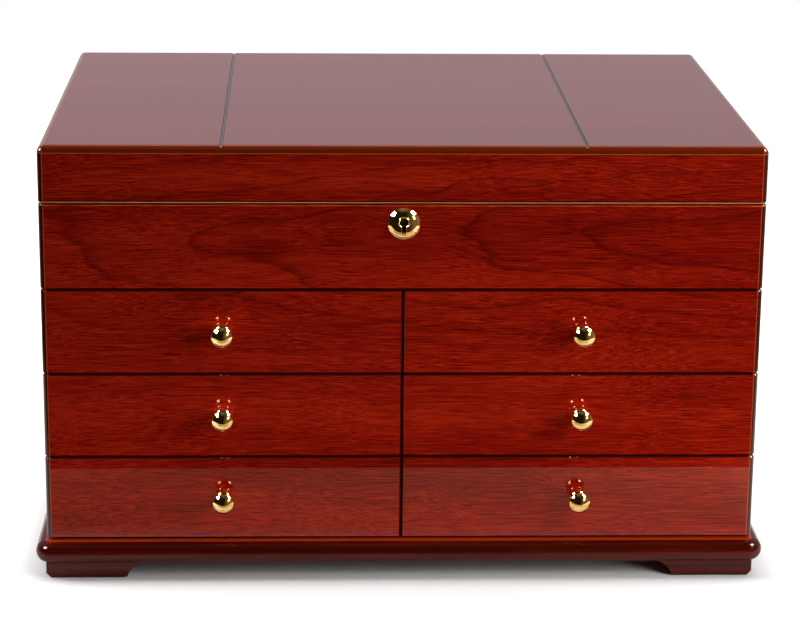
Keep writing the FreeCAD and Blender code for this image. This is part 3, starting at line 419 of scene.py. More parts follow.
def lid_edge_mask(tree, axes):
    """1 on the rounding all round the top of the lid."""
    across, deep = off_middle(tree, axes)
    off_side = beyond(tree, across, case_half_width - LID_ROUND)
    off_end = beyond(tree, deep, half_depth - LID_ROUND)
    high = beyond(tree, axes[2], case_top - LID_ROUND)
    return product(tree, high, largest(tree, off_side, off_end))


def edge_lines(tree, axes):
    """1 on the thin pale lines where the flat of a board ends and its rounding begins."""
    across, deep = off_middle(tree, axes)
    return largest(
        tree,
        band(tree, across, case_half_width - CORNER_ROUND, LINE_HALF_WIDTH),
        band(tree, deep, half_depth - CORNER_ROUND, LINE_HALF_WIDTH),
        band(tree, axes[2], case_top - LID_ROUND, LINE_HALF_WIDTH),
    )


print(f"pale lines {LINE_HALF_WIDTH * 2000:.2f} mm wide, {CORNER_ROUND * 1000:.1f} mm in")

# %% [markdown]
# ## The routed grooves
#
# Two grooves run from the front to the back of the lid, a quarter of the way in from each side.
# Stain gathers in them. They are the only places that lie a little below the top and inside its
# rounded edge, so their depth finds them.

# %% Stain in the grooves
GROOVE_FROM = 0.1 * MM
GROOVE_FULL = 0.3 * MM


def groove_mask(tree, axes):
    """1 in the two grooves."""
    across, deep = off_middle(tree, axes)
    sunk = calc(tree, "SUBTRACT", case_top, axes[2])
    return product(
        tree,
        short_of(tree, deep, half_depth - LID_ROUND),
        short_of(tree, across, case_half_width / 2 + LID_ROUND),
        between(tree, sunk, GROOVE_FROM, GROOVE_FULL),
        short_of(tree, sunk, LID_ROUND),
    )


print(f"grooves dark from {GROOVE_FULL * 1000:.1f} mm down")

# %% [markdown]
# ## The seam of the lid
#
# After the lid is sawn off, its edges and those of the case are eased with fine paper. On the lid's
# foot a pale line is a painted highlight, with a painted shadow over it as a dark line. The rim of
# the case below gets an orange painted highlight in patches, so its line is broken up with noise
# that changes only along the box.

# %% Painted highlights and shadow along the seam
SEAM_EDGE = 1.25 * MM
SEAM_LINE = 0.85 * MM
SEAM_SHADOW_SHARE = 2
RIM_HIGHLIGHT_SHARE = 1.2
RIM_HIGHLIGHT_PATCHES = 55.0
RIM_HIGHLIGHT_FROM, RIM_HIGHLIGHT_FULL, LEAST_RIM_HIGHLIGHT = 0.38, 0.62, 0.25


def seam_masks(tree, axes):
    """Masks: painted shadow over the lid's foot, painted highlights on the foot and the rim below.
    """
    over_seam = calc(tree, "SUBTRACT", axes[2], seam)
    seam_shadow = band(tree, over_seam, SEAM_EDGE, LINE_HALF_WIDTH * SEAM_SHADOW_SHARE)
    foot = product(tree, beyond(tree, over_seam, 0.0), short_of(tree, over_seam, SEAM_LINE))
    rim = band(tree, over_seam, -SEAM_EDGE, LINE_HALF_WIDTH * RIM_HIGHLIGHT_SHARE)
    highlight_noise = noise(tree, joined(tree, axes[0]), RIM_HIGHLIGHT_PATCHES)
    highlight_patches = between(tree, highlight_noise, RIM_HIGHLIGHT_FROM, RIM_HIGHLIGHT_FULL, LEAST_RIM_HIGHLIGHT, 1.0)
    return seam_shadow, foot, product(tree, rim, highlight_patches)


print(f"seam lines up to {SEAM_EDGE * 1000:.2f} mm from {seam * 1000:.1f} mm")

# %% [markdown]
# ## Painted shade on the eased edges of the drawer fronts
#
# Each drawer front has its edges taken off at 45 degrees by a few strokes of the plane. These
# narrow faces carry painted shade, dark like the shade in the gaps between the drawers. They slant,
# so their normal finds them, and three limits keep the mask off the lid, the inside and the
# corners of the case.

# %% Painted shade round the drawer fronts
SLANT_SPREAD = 0.25
RIM_UNDER_PANEL = 1 * MM
RIM_BEHIND_FACE = 1.5 * MM
RIM_OFF_CORNER = 4 * MM


def drawer_rim(tree, axes, normal):
    """1 on the eased edges round the drawer fronts, which get painted shade, and 0 elsewhere."""
    across = calc(tree, "ABSOLUTE", axes[0])
    return product(
        tree,
        band(tree, calc(tree, "ABSOLUTE", normal[1]), SINE_45, SLANT_SPREAD),
        short_of(tree, axes[2], panel_low.z + RIM_UNDER_PANEL),
        short_of(tree, axes[1], case_front + RIM_BEHIND_FACE),
        short_of(tree, across, case_half_width - RIM_OFF_CORNER),
    )


print(f"drawer rims looked for below {(panel_low.z + RIM_UNDER_PANEL) * 1000:.1f} mm")

# %% [markdown]
# ## The gloss lacquer
#
# The finish is a thick clear coat over the wood. The principled shader has a coat of its own:
# the base stays dull, with no gloss of the wood at all, while the coat on top is nearly a mirror.
# Such a coat fills the pores and is rubbed flat, so no bump is given to it.

# %% A material and its lacquer
LACQUER = {
    "Roughness": 0.6,
    "IOR": 1.02,
    "Specular IOR Level": 0.0,
    "Coat Roughness": 0.015,
    "Coat IOR": 1.38,
}


def new_material(name):
    """A material with an empty graph, its shader and its output."""
    material = bpy.data.materials.new(name)
    material.use_nodes = True
    tree = material.node_tree
    tree.nodes.clear()
    shader = tree.nodes.new("ShaderNodeBsdfPrincipled")
    output = tree.nodes.new("ShaderNodeOutputMaterial")
    tree.links.new(shader.outputs[0], output.inputs["Surface"])
    return material, tree, shader


def fill(shader, settings):
    """Set the shader's own sockets, which hold all over the surface."""
    for name, setting in settings.items():
        shader.inputs[name].default_value = setting


def lacquer(shader, colour, weight=1.0):
    """Polished lacquer over a base of this colour; a smaller weight is a thinner, duller coat."""
    fill(shader, {**LACQUER, "Coat Weight": weight})
    shader.id_data.links.new(colour, shader.inputs["Base Color"])


print(f"lacquer of roughness {LACQUER['Coat Roughness']} and index {LACQUER['Coat IOR']}")

# %% [markdown]
# ## Lacquered cherry
#
# One material dresses all the lacquered boards of the case, so that nothing changes where they
# meet. It starts from the veneer and lays one colour after another over it, each through its own
# mask: stains, and also painted shade, painted shadow and painted highlights. The top gets a
# painted shade, a deeper red than the fronts, because the pale backdrop that it mirrors would
# otherwise turn it pink.

# %% Stains, painted shade and painted highlights over the veneer
EDGE_STAIN = (0.060, 0.0040, 0.0014, 1)
LID_EDGE_STAIN = (0.120, 0.0110, 0.0010, 1)
LINE_PALE = (0.40, 0.085, 0.022, 1)
GROOVE_STAIN = (0.012, 0.0060, 0.0060, 1)
# Painted highlights along the seam: pale on the lid's foot, orange on the case's rim.
SEAM_HIGHLIGHT = (0.80, 0.40, 0.22, 1)
RIM_HIGHLIGHT_ORANGE = (0.50, 0.11, 0.015, 1)
# Painted shade: faces that look up get a deeper red.
TOP_PAINTED_SHADE = (0.105, 0.0030, 0.0012, 1)
TOP_PAINTED_SHADE_SHARE = 0.75
UPWARD_FROM, UPWARD_FULL = 0.9, 0.99


def make_lacquered_cherry():
    """Stained cherry veneer, darker edges, painted shade and highlights, under gloss lacquer."""
    material, tree, shader = new_material("gloss_cherry")
    place, axes, normal = grain_place(tree)
    colour = cherry_colour(tree, place, case_front + seam - HEART_UNDER_SEAM)
    faces_up = between(tree, normal[2], UPWARD_FROM, UPWARD_FULL)
    seam_shadow, foot, rim_highlight = seam_masks(tree, axes)
    for mask, stain in (
        # Painted shade on the faces that look up.
        (calc(tree, "MULTIPLY", faces_up, TOP_PAINTED_SHADE_SHARE), TOP_PAINTED_SHADE),
        (corner_mask(tree, axes), EDGE_STAIN),
        (lid_edge_mask(tree, axes), LID_EDGE_STAIN),
        (groove_mask(tree, axes), GROOVE_STAIN),
        # Painted shadow over the lid's foot, and painted highlights on the foot and the rim.
        (seam_shadow, CHERRY_PORE),
        (foot, SEAM_HIGHLIGHT),
        (rim_highlight, RIM_HIGHLIGHT_ORANGE),
        (edge_lines(tree, axes), LINE_PALE),
        # Painted shade on the eased edges beside the drawer gaps.
        (drawer_rim(tree, axes, normal), CHERRY_PORE),
    ):
        colour = mix(tree, mask, colour, stain)
    lacquer(shader, colour)
    return material


# %% Dress the case and the drawer fronts
def finish_with(material, names):
    """Give these nodes the material, in place of what they came with."""
    for name in names:
        slots = nodes[name].data.materials
        slots.clear()
        slots.append(material)
    print(f"{material.name}: {len(names)} of the pieces")


CASE_BOARDS = ["left_side", "right_side", "back_panel", "front_panel", "lid_top", "lid_frame"]
ROWS = ("top", "middle", "bottom")
DRAWERS = [f"drawer_{row}_{side}" for row in ROWS for side in ("left", "right")]
DRAWER_FRONTS = [f"{drawer}_front" for drawer in DRAWERS]
finish_with(make_lacquered_cherry(), CASE_BOARDS + DRAWER_FRONTS)

# %% [markdown]
# ## The plinth and the feet
#
# The plinth's rounded edge is stained darker than the case. Its flat ledge is painted orange, a
# painted reflection of the drawers' lower edges and painted light from above. The ledge faces
# straight up, so its normal finds it. The lacquer is thinner here than on the case, so it mirrors
# less of the table.

# %% Dark cherry for the plinth and the feet
PLINTH_STAIN = (0.046, 0.0022, 0.0008, 1)
PLINTH_STREAK = (0.090, 0.0060, 0.0015, 1)
PLINTH_STREAKS = (9.0, 260.0, 260.0)
STREAK_FROM, STREAK_FULL = 0.4, 0.7
# Painted reflection and light on the flat ledge.
LEDGE_PAINTED_LIGHT = (0.42, 0.034, 0.0035, 1)
LEDGE_FROM, LEDGE_FULL = 0.985, 0.998
THIN_COAT = 0.55


def make_plinth_cherry():
    """Darker cherry whose upward faces get a painted orange reflection and painted light."""
    material, tree, shader = new_material("plinth_cherry")
    place, _, normal = grain_place(tree)
    streaks = noise(tree, stretched(tree, place, PLINTH_STREAKS))
    streaked = between(tree, streaks, STREAK_FROM, STREAK_FULL)
    stain = mix(tree, streaked, PLINTH_STAIN, PLINTH_STREAK)
    flat_up = between(tree, normal[2], LEDGE_FROM, LEDGE_FULL)
    lacquer(shader, mix(tree, flat_up, stain, LEDGE_PAINTED_LIGHT), THIN_COAT)
    return material


FEET = ["foot_front_left", "foot_front_right", "foot_rear_left", "foot_rear_right"]
finish_with(make_plinth_cherry(), ["plinth", *FEET])

# %% [markdown]
# ## Cedar and plain shelves
#
# The inside of a humidor is bare Spanish cedar: pale pinkish brown, dull, with soft straight
# grain. Bare wood has no coat, and its grain gives a slight roughness that a bump can carry. The
# shelves and dividers between the drawers are a plainer, yellower wood made in the same way.

# %% A recipe for bare wood
BROAD_GRAIN = (2.0, 40.0, 40.0)
BROAD_SHARE = 0.6
FINE_GRAIN = (12.0, 500.0, 500.0)
BARE_PORES = (60.0, 1100.0, 1100.0)
BARE_PORE_FROM, BARE_PORE_FULL, BARE_PORE_STRENGTH = 0.62, 0.75, 0.7
BARE_ROUGHNESS = 0.62


def add_relief(tree, shader, height, strength, depth):
    """Let a pattern stand up from the surface by up to this depth, in metres."""
    settings = {"Height": height, "Strength": strength, "Distance": depth}
    relief = node(tree, "ShaderNodeBump", settings)
    tree.links.new(relief.outputs[0], shader.inputs["Normal"])


def make_bare_wood(name, dark, light, pore):
    """Planed wood with nothing on it."""
    material, tree, shader = new_material(name)
    place, _, _ = grain_place(tree)
    broad = noise(tree, stretched(tree, place, BROAD_GRAIN), detail=4)
    fine = noise(tree, stretched(tree, place, FINE_GRAIN))
    tone = blend(tree, broad, BROAD_SHARE, fine)
    colour = ramp(tree, tone, (DARK_TONE, dark), (LIGHT_TONE, light))
    pores = noise(tree, stretched(tree, place, BARE_PORES), detail=1)
    pore_mask = between(tree, pores, BARE_PORE_FROM, BARE_PORE_FULL, 0.0, BARE_PORE_STRENGTH)
    tree.links.new(mix(tree, pore_mask, colour, pore), shader.inputs["Base Color"])
    add_relief(tree, shader, fine, strength=0.15, depth=0.4 * MM)
    fill(shader, {"Roughness": BARE_ROUGHNESS})
    return material


# %% Dress the lining, the dividers, the drawer boxes and the shelves
CEDAR_DARK = (0.30, 0.125, 0.06, 1)
CEDAR_LIGHT = (0.52, 0.27, 0.145, 1)
CEDAR_PORE = (0.20, 0.075, 0.035, 1)
cedar = make_bare_wood("bare_cedar", CEDAR_DARK, CEDAR_LIGHT, CEDAR_PORE)
finish_with(
    cedar,
    ["cedar_lining", "lid_lining", "chest_floor", "chest_divider_left", "chest_divider_right"]
    + [f"{drawer}_{piece}" for drawer in DRAWERS for piece in ("box", "bottom")],
)

SHELF_DARK = (0.36, 0.20, 0.10, 1)
SHELF_LIGHT = (0.55, 0.36, 0.20, 1)
shelf_wood = make_bare_wood("plain_shelf_wood", SHELF_DARK, SHELF_LIGHT, CEDAR_PORE)
finish_with(shelf_wood, ["upper_shelf", "lower_shelf", "column_dividers", "base_board"])

# %% [markdown]
# ## Polished brass
#
# Polished metal has almost no colour of its own apart from its reflections. The shader's metal
# base colour tints them, and it varies a little, as brass does when it starts to tarnish. The
# knobs, the escutcheon and the hygrometer's rim are buffed. The hinges and the lock are only
# brushed, which fine lines in a bump show.

# %% Brass
BRASS = (0.86, 0.58, 0.24, 1)
BRASS_DEEP = (0.70, 0.42, 0.13, 1)
TARNISH_SCALE = 260.0
TARNISH_FROM, TARNISH_FULL = 0.35, 0.7
BRUSHED_LINES = (300.0, 4000.0, 4000.0)


def make_brass(name, roughness, brushed=0.0):
    """Brass, smooth or with brushed lines of the given strength."""
    material, tree, shader = new_material(name)
    place = node(tree, "ShaderNodeTexCoord").outputs["Object"]
    tarnish = between(tree, noise(tree, place, TARNISH_SCALE), TARNISH_FROM, TARNISH_FULL)
    tree.links.new(mix(tree, tarnish, BRASS, BRASS_DEEP), shader.inputs["Base Color"])
    if brushed:
        lines = noise(tree, stretched(tree, place, BRUSHED_LINES), detail=2)
        add_relief(tree, shader, lines, strength=brushed, depth=0.2 * MM)
    fill(shader, {"Metallic": 1.0, "Roughness": roughness})
    return material


polished = make_brass("buffed_brass", roughness=0.05)
finish_with(polished, ["hygrometer_case"])
satin = make_brass("brushed_brass", roughness=0.2, brushed=0.12)
HINGES = ["hinge_case_leaves", "hinge_lid_leaves", "hinge_pins"]
finish_with(satin, [*HINGES, "link_plate", "lock_case", "case_screws", "lid_screws"])

# %% [markdown]
# ## Turning the knobs
#
# The knobs are turned on a lathe, and a script can do the same: draw half the outline, from the
# screw's axis outwards, and spin it round the axis. Each knob has a short foot against the
# drawer, a bead round it, a thin neck, and a head that is round at the back and domed in front.
# The dome matters for the look. A full ball would mirror the red drawer all round its rim, while
# this head has a rim that leans forward and so mirrors the table right down to its lower edge,
# and it shines like gold there. The dome swells: it rises quickly from the rim and flattens
# towards the middle.

# %% Arcs and domes
ARC_STEPS = 24


def arc(centre, across, forward, angles, steps=ARC_STEPS):
    """Part of an ellipse as (radius, distance from the drawer); the angles start from outwards."""
    start, end = angles
    points = []
    for step in range(steps + 1):
        angle = math.radians(start + (end - start) * step / steps)
        radius = centre[0] + across * math.cos(angle)
        points.append((radius, centre[1] + forward * math.sin(angle)))
    return points


def dome(across, radius, edge_tilt, swell):
    """Height of a dome over its edge; the larger the swell, the flatter its middle."""
    height = radius * math.tan(edge_tilt) / swell
    return height * (1 - (min(across, radius) / radius) ** swell)


# %% Outline of a knob
FOOT_RADIUS = 3.1 * MM
BEAD_RADIUS = 1.5 * MM
BEAD_REACH = 4.7 * MM
BEAD_PLACE = 4.2 * MM
BEAD_ANGLES = (-80, 80)
NECK_RADIUS = 2.3 * MM
HEAD_RADIUS = 6.05 * MM
HEAD_PLACE = 13.9 * MM
HEAD_BACK = 4.2 * MM
HEAD_BACK_ANGLES = (-66, -2)
RIM_ROUND = 0.35 * MM
RIM_ANGLES = (0, 44)
RIM_STEPS = 6
HEAD_EDGE_TILT = math.radians(46)
HEAD_SWELL = 1.9

dome_radius = HEAD_RADIUS - RIM_ROUND * (1 - math.sin(HEAD_EDGE_TILT))
dome_place = HEAD_PLACE + RIM_ROUND * math.cos(HEAD_EDGE_TILT)
back_place = HEAD_PLACE - HEAD_BACK
rim_centre = (HEAD_RADIUS - RIM_ROUND, HEAD_PLACE)
knob_outline = [(0, 0), (FOOT_RADIUS, 0)]
knob_outline += arc(
    (BEAD_REACH - BEAD_RADIUS, BEAD_PLACE), BEAD_RADIUS, BEAD_RADIUS, BEAD_ANGLES
)
knob_outline += [(NECK_RADIUS, BEAD_PLACE + BEAD_RADIUS), (NECK_RADIUS, back_place)]
knob_outline += arc((0, HEAD_PLACE), HEAD_RADIUS, HEAD_BACK, HEAD_BACK_ANGLES)
knob_outline += arc(rim_centre, RIM_ROUND, RIM_ROUND, RIM_ANGLES, RIM_STEPS)
for step in range(1, ARC_STEPS + 1):
    across = dome_radius * (1 - step / ARC_STEPS)
    height = dome(across, dome_radius, HEAD_EDGE_TILT, HEAD_SWELL)
    knob_outline.append((across, dome_place + height))
print(f"outline of {len(knob_outline)} points, {knob_outline[-1][1] * 1000:.1f} mm long")

# %% [markdown]
# Spinning leaves a seam where the last turn meets the first, so points that fall together are
# merged. Smooth shading would also smooth the crisp corners of the neck, so edges that are
# sharper than a set angle are kept sharp.

# %% A lathe
KNOB_TURNS = 72
MERGE_WITHIN = 0.001 * MM
KNOB_SHARP_FROM = math.radians(35)


def turned(name, outline, place):
    """Spin an outline of (radius, distance to the front) round an axis that points to the front."""
    shape = bmesh.new()
    points = [
        shape.verts.new((place.x + across, place.y - out, place.z)) for across, out in outline
    ]
    edges = [shape.edges.new(ends) for ends in zip(points, points[1:])]
    whole_turn = {"angle": math.tau, "steps": KNOB_TURNS, "axis": (0, 1, 0), "cent": place}
    bmesh.ops.spin(shape, geom=points + edges, **whole_turn)
    bmesh.ops.remove_doubles(shape, verts=shape.verts, dist=MERGE_WITHIN)
    bmesh.ops.recalc_face_normals(shape, faces=shape.faces)
    mesh = bpy.data.meshes.new(name)
    shape.to_mesh(mesh)
    shape.free()
    return mesh


def brass_piece(name, mesh, sharp_from):
    """Make a piece of buffed brass from a mesh, smooth apart from its sharp edges."""
    mesh.shade_smooth()
    mesh.set_sharp_from_angle(angle=sharp_from)
    mesh.materials.append(polished)
    piece = bpy.data.objects.new(name, mesh)
    bpy.context.scene.collection.objects.link(piece)
    return piece


# %% Turn the knobs
for drawer in DRAWERS:
    knob_low, knob_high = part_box(f"{drawer}_knob")
    front_low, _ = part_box(f"{drawer}_front")
    middle = (knob_low + knob_high) / 2
    name = f"{drawer}_turned_knob"
    mesh = turned(name, knob_outline, Vector((middle.x, front_low.y, middle.z)))
    knob = brass_piece(name, mesh, KNOB_SHARP_FROM)
    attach(knob, drawer)
    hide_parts(f"{drawer}_knob")
print(f"{len(DRAWERS)} knobs of {len(knob.data.polygons)} faces each")

# %% [markdown]
# ## The escutcheon
#
# The brass plate round the keyhole is pressed from sheet: one shallow dome with a thin raised lip
# that follows the keyhole. Such a shape is easily built from closed rings of points. The first ring
# lies deep in the keyhole, the next ones go over the lip, and the others widen step by step
# from the keyhole's outline to the plate's round edge, each lying on the dome.

# %% The keyhole's outline
KEY_RADIUS = 2.5 * MM
KEY_SLOT_HALF_WIDTH = 1.35 * MM
KEY_SLOT_DROP = 6.1 * MM
ROUND_ABOVE_SINE = -0.2
LEAST_COSINE = 0.001


def keyhole_reach(angle):
    """How far the keyhole reaches from the middle of its round part, in one direction."""
    if math.sin(angle) > ROUND_ABOVE_SINE:
        return KEY_RADIUS
    beside = KEY_SLOT_HALF_WIDTH / max(abs(math.cos(angle)), LEAST_COSINE)
    below = KEY_SLOT_DROP / -math.sin(angle)
    return max(KEY_RADIUS, min(beside, below))


print(f"keyhole {(KEY_RADIUS + KEY_SLOT_DROP) * 1000:.1f} mm high")

# %% Rings of the plate
PLATE_TILT = math.radians(48)
PLATE_SWELL = 3
PLATE_EDGE = 0.35 * MM
PLATE_TURNS = 144
KEY_RISE = 1.6 * MM
LIP_WIDTH = 0.95 * MM
LIP_HEIGHT = 0.55 * MM


def plate_ring(radius, lip_share, out_share):
    """A closed ring of (across, up, height); the shares say how far over the lip or plate it is."""
    ring = []
    for turn in range(PLATE_TURNS):
        angle = math.tau * turn / PLATE_TURNS
        reach = keyhole_reach(angle) + LIP_WIDTH * lip_share
        inner = Vector((reach * math.cos(angle), KEY_RISE + reach * math.sin(angle)))
        outer = Vector((radius * math.cos(angle), radius * math.sin(angle)))
        across, up = inner.lerp(outer, out_share)
        height = PLATE_EDGE + dome(math.hypot(across, up), radius, PLATE_TILT, PLATE_SWELL)
        if out_share == 0:
            height += LIP_HEIGHT * math.sin(math.pi * lip_share)
        ring.append((across, up, height))
    return ring


def flattened(ring):
    """The same ring, down on the wood."""
    return [(across, up, 0.0) for across, up, _ in ring]


# %% Make the escutcheon
LIP_STEPS = 8
PLATE_STEPS = 14
PLATE_SHARP_FROM = math.radians(40)

plate_low, plate_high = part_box("escutcheon")
plate_middle = (plate_low + plate_high) / 2
plate_radius = (plate_high.x - plate_low.x) / 2
lip_shares = [(1 - math.cos(math.pi * step / LIP_STEPS)) / 2 for step in range(LIP_STEPS + 1)]
rings = [plate_ring(plate_radius, share, 0) for share in lip_shares]
rings += [plate_ring(plate_radius, 1, step / PLATE_STEPS) for step in range(1, PLATE_STEPS + 1)]
rings = [flattened(rings[0]), *rings, flattened(rings[-1])]
points = [
    (plate_middle.x + across, plate_high.y - height, plate_middle.z + up)
    for ring in rings
    for across, up, height in ring
]
faces = []
for ring_start in range(0, PLATE_TURNS * (len(rings) - 1), PLATE_TURNS):
    for turn in range(PLATE_TURNS):
        following = (turn + 1) % PLATE_TURNS
        corners = (turn, following, following + PLATE_TURNS, turn + PLATE_TURNS)
        faces.append([ring_start + corner for corner in corners])
plate_mesh = bpy.data.meshes.new("pressed_escutcheon")
plate_mesh.from_pydata(points, [], faces)
plate = brass_piece("pressed_escutcheon", plate_mesh, PLATE_SHARP_FROM)
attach(plate, "case")
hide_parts("escutcheon")
print(f"escutcheon {plate_radius * 2000:.1f} mm wide, {len(faces)} faces")

# %% [markdown]
# ## The small dull things
#
# Steel bolt, black needle, black plastic, foam and felt: each needs only two close colours that
# it varies between, the right roughness and a fine texture at its true scale. One recipe with
# the size of the texture's grain in it serves them all.

# %% A recipe for dull materials
SPECKLE_FROM, SPECKLE_FULL = 0.3, 0.7
SPECKLE_STRENGTH = 0.5


def make_dull(name, colour, other, roughness, grain_size, depth, metallic=0.0):
    """A material that wavers between two colours and has a fine even texture."""
    material, tree, shader = new_material(name)
    place = node(tree, "ShaderNodeTexCoord").outputs["Object"]
    speckle = noise(tree, place, scale=1 / grain_size, detail=2)
    shade = mix(tree, between(tree, speckle, SPECKLE_FROM, SPECKLE_FULL), colour, other)
    tree.links.new(shade, shader.inputs["Base Color"])
    add_relief(tree, shader, speckle, SPECKLE_STRENGTH, depth)
    fill(shader, {"Roughness": roughness, "Metallic": metallic})
    return material


# %% Felt pads and the steel bolt
felt = make_dull(
    "black_felt",
    (0.012, 0.012, 0.013, 1),
    (0.03, 0.03, 0.03, 1),
    roughness=0.95,
    grain_size=0.4 * MM,
    depth=0.3 * MM,
)
finish_with(felt, ["foot_pads"])
steel = make_dull(
    "bolt_steel",
    (0.50, 0.50, 0.49, 1),
    (0.62, 0.61, 0.60, 1),
    roughness=0.3,
    grain_size=0.5 * MM,
    depth=0.01 * MM,
    metallic=1.0,
)
finish_with(steel, ["lock_bolt"])

# %% The humidifier and the needle
black_plastic = make_dull(
    "black_plastic",
    (0.012, 0.012, 0.012, 1),
    (0.022, 0.022, 0.022, 1),
    roughness=0.45,
    grain_size=0.25 * MM,
    depth=0.03 * MM,
)
finish_with(black_plastic, ["humidifier_case", "humidifier_grille"])
foam = make_dull(
    "green_foam",
    (0.05, 0.13, 0.07, 1),
    (0.10, 0.22, 0.13, 1),
    roughness=0.9,
    grain_size=0.9 * MM,
    depth=0.6 * MM,
)
finish_with(foam, ["humidifier_sponge"])
black_paint = make_dull(
    "black_paint",
    (0.01, 0.01, 0.01, 1),
    (0.02, 0.02, 0.02, 1),
    roughness=0.35,
    grain_size=0.3 * MM,
    depth=0.005 * MM,
)
finish_with(black_paint, ["hygrometer_needle"])

# %% [markdown]
# ## The hygrometer's glass
#
# A thin disc of clear glass is best made with the transmission of the principled shader. Its
# index of refraction is that of window glass.

# %% Clear glass
GLASS = {
    "Base Color": (0.97, 0.99, 0.98, 1),
    "Transmission Weight": 1.0,
    "Roughness": 0.01,
    "IOR": 1.45,
}
glass, _, glass_shader = new_material("thin_glass")
fill(glass_shader, GLASS)
finish_with(glass, ["hygrometer_glass"])

# %% [markdown]
# ## The hygrometer's dial
#
# The dial is white printed card behind the needle. It faces down while the lid is shut, and the
# owner reads it with the lid up, so its figures stand towards the lid's front edge. The scale goes
# from 0 to 100 percent over the needle's whole turn, with a long tick at every twenty. The ticks
# are one flat mesh, and the figures are text, each turned like the card. All of them need a
# place at some angle round the dial, which one helper gives.

# %% Places on the dial
DIAL_ABOVE_NEEDLE = 0.9 * MM

_, needle_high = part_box("hygrometer_needle")
hygrometer_low, hygrometer_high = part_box("hygrometer_case")
dial_middle = (hygrometer_low + hygrometer_high) / 2
dial_middle.z = needle_high.z + DIAL_ABOVE_NEEDLE


def on_dial(radius, angle, proud=0.0, beside=0.0):
    """A place on the dial; the angle is clockwise from the top as the owner sees it."""
    across = radius * math.sin(angle) + beside * math.cos(angle)
    up = radius * math.cos(angle) - beside * math.sin(angle)
    return (dial_middle.x + across, dial_middle.y - up, dial_middle.z - proud)


def add_to_lid(piece):
    """Link a piece of the hygrometer and let it ride on the lid."""
    bpy.context.scene.collection.objects.link(piece)
    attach(piece, "lid")


print(f"dial {dial_middle.z * 1000:.1f} mm above the table")

# %% The card
DIAL_RADIUS = 19.3 * MM
CARD_TURNS = 96

card = bpy.data.meshes.new("dial_card")
rim = [on_dial(DIAL_RADIUS, -math.tau * turn / CARD_TURNS) for turn in range(CARD_TURNS)]
card.from_pydata(rim, [], [list(range(CARD_TURNS))])
paper = make_dull(
    "dial_paper",
    (0.80, 0.79, 0.74, 1),
    (0.84, 0.83, 0.79, 1),
    roughness=0.6,
    grain_size=0.5 * MM,
    depth=0.01 * MM,
)
card.materials.append(paper)
add_to_lid(bpy.data.objects.new("dial_card", card))
print(f"card {DIAL_RADIUS * 2000:.1f} mm across")

# %% The ticks
PRINT_PROUD = 0.05 * MM
SCALE_TURN = math.radians(130)
TICKS = 51
TICKS_TO_A_LONG_ONE = 10
TICK_OUTER = 17.6 * MM
TICK_SHORT = 1.5 * MM
TICK_LONG = 2.8 * MM
TICK_HALF_WIDTH = 0.16 * MM


def tick_corners(tick):
    """The four corners of one tick."""
    angle = SCALE_TURN * (2 * tick / (TICKS - 1) - 1)
    inner = TICK_OUTER - (TICK_SHORT if tick % TICKS_TO_A_LONG_ONE else TICK_LONG)
    corners = ((TICK_OUTER, -1), (TICK_OUTER, 1), (inner, 1), (inner, -1))
    return [
        on_dial(radius, angle, PRINT_PROUD, side * TICK_HALF_WIDTH) for radius, side in corners
    ]


tick_points = [corner for tick in range(TICKS) for corner in tick_corners(tick)]
tick_faces = [range(4 * tick, 4 * tick + 4) for tick in range(TICKS)]
tick_mesh = bpy.data.meshes.new("dial_ticks")
tick_mesh.from_pydata(tick_points, [], tick_faces)
tick_mesh.materials.append(black_paint)
add_to_lid(bpy.data.objects.new("dial_ticks", tick_mesh))
print(f"{TICKS} ticks over {math.degrees(SCALE_TURN) * 2:.0f} degrees")

# %% The figures
FIGURES = range(0, 101, 20)
SCALE_MIDDLE = 50
FIGURE_RADIUS = 12.3 * MM
FIGURE_HEIGHT = 3.3 * MM
FACING_DOWN = Matrix(((1, 0, 0), (0, -1, 0), (0, 0, -1))).to_4x4()

for figure in FIGURES:
    text = bpy.data.curves.new(f"dial_figure_{figure}", "FONT")
    text.body = str(figure)
    text.size = FIGURE_HEIGHT
    text.align_x = "CENTER"
    text.align_y = "CENTER"
    text.materials.append(black_paint)
    written = bpy.data.objects.new(f"dial_figure_{figure}", text)
    place = on_dial(FIGURE_RADIUS, SCALE_TURN * (figure / SCALE_MIDDLE - 1), PRINT_PROUD)
    written.matrix_world = Matrix.Translation(place) @ FACING_DOWN
    add_to_lid(written)
print(f"figures {', '.join(map(str, FIGURES))}")

# %% [markdown]
# ## The studio
#
# Gloss shows what stands around it. The top mirrors a white backdrop behind the box, which is
# why it looks milky. The front mirrors the dark room before it, a little lighter on the
# right, and its lowest drawers mirror the table. Overhead hangs a dim ceiling, which keeps the
# lid from going white when it is seen from high up. The world is therefore a mix of these by
# direction. The camera itself sees plain white, whatever the direction.

# %% Backdrop, room and ceiling
BACKDROP_LIGHT = (0.555, 0.56, 0.59, 1)
BACKDROP_FROM, BACKDROP_FULL = -0.1, 0.25
ROOM_LIGHT = (0.015, 0.013, 0.010, 1)
ROOM_RIGHT = (0.20, 0.17, 0.13, 1)
RIGHT_FROM, RIGHT_FULL = 0.1, 0.9
CEILING_LIGHT = (0.20, 0.18, 0.15, 1)
CEILING_FROM, CEILING_FULL = 0.80, 0.97
PAPER_WHITE = (1, 1, 1, 1)


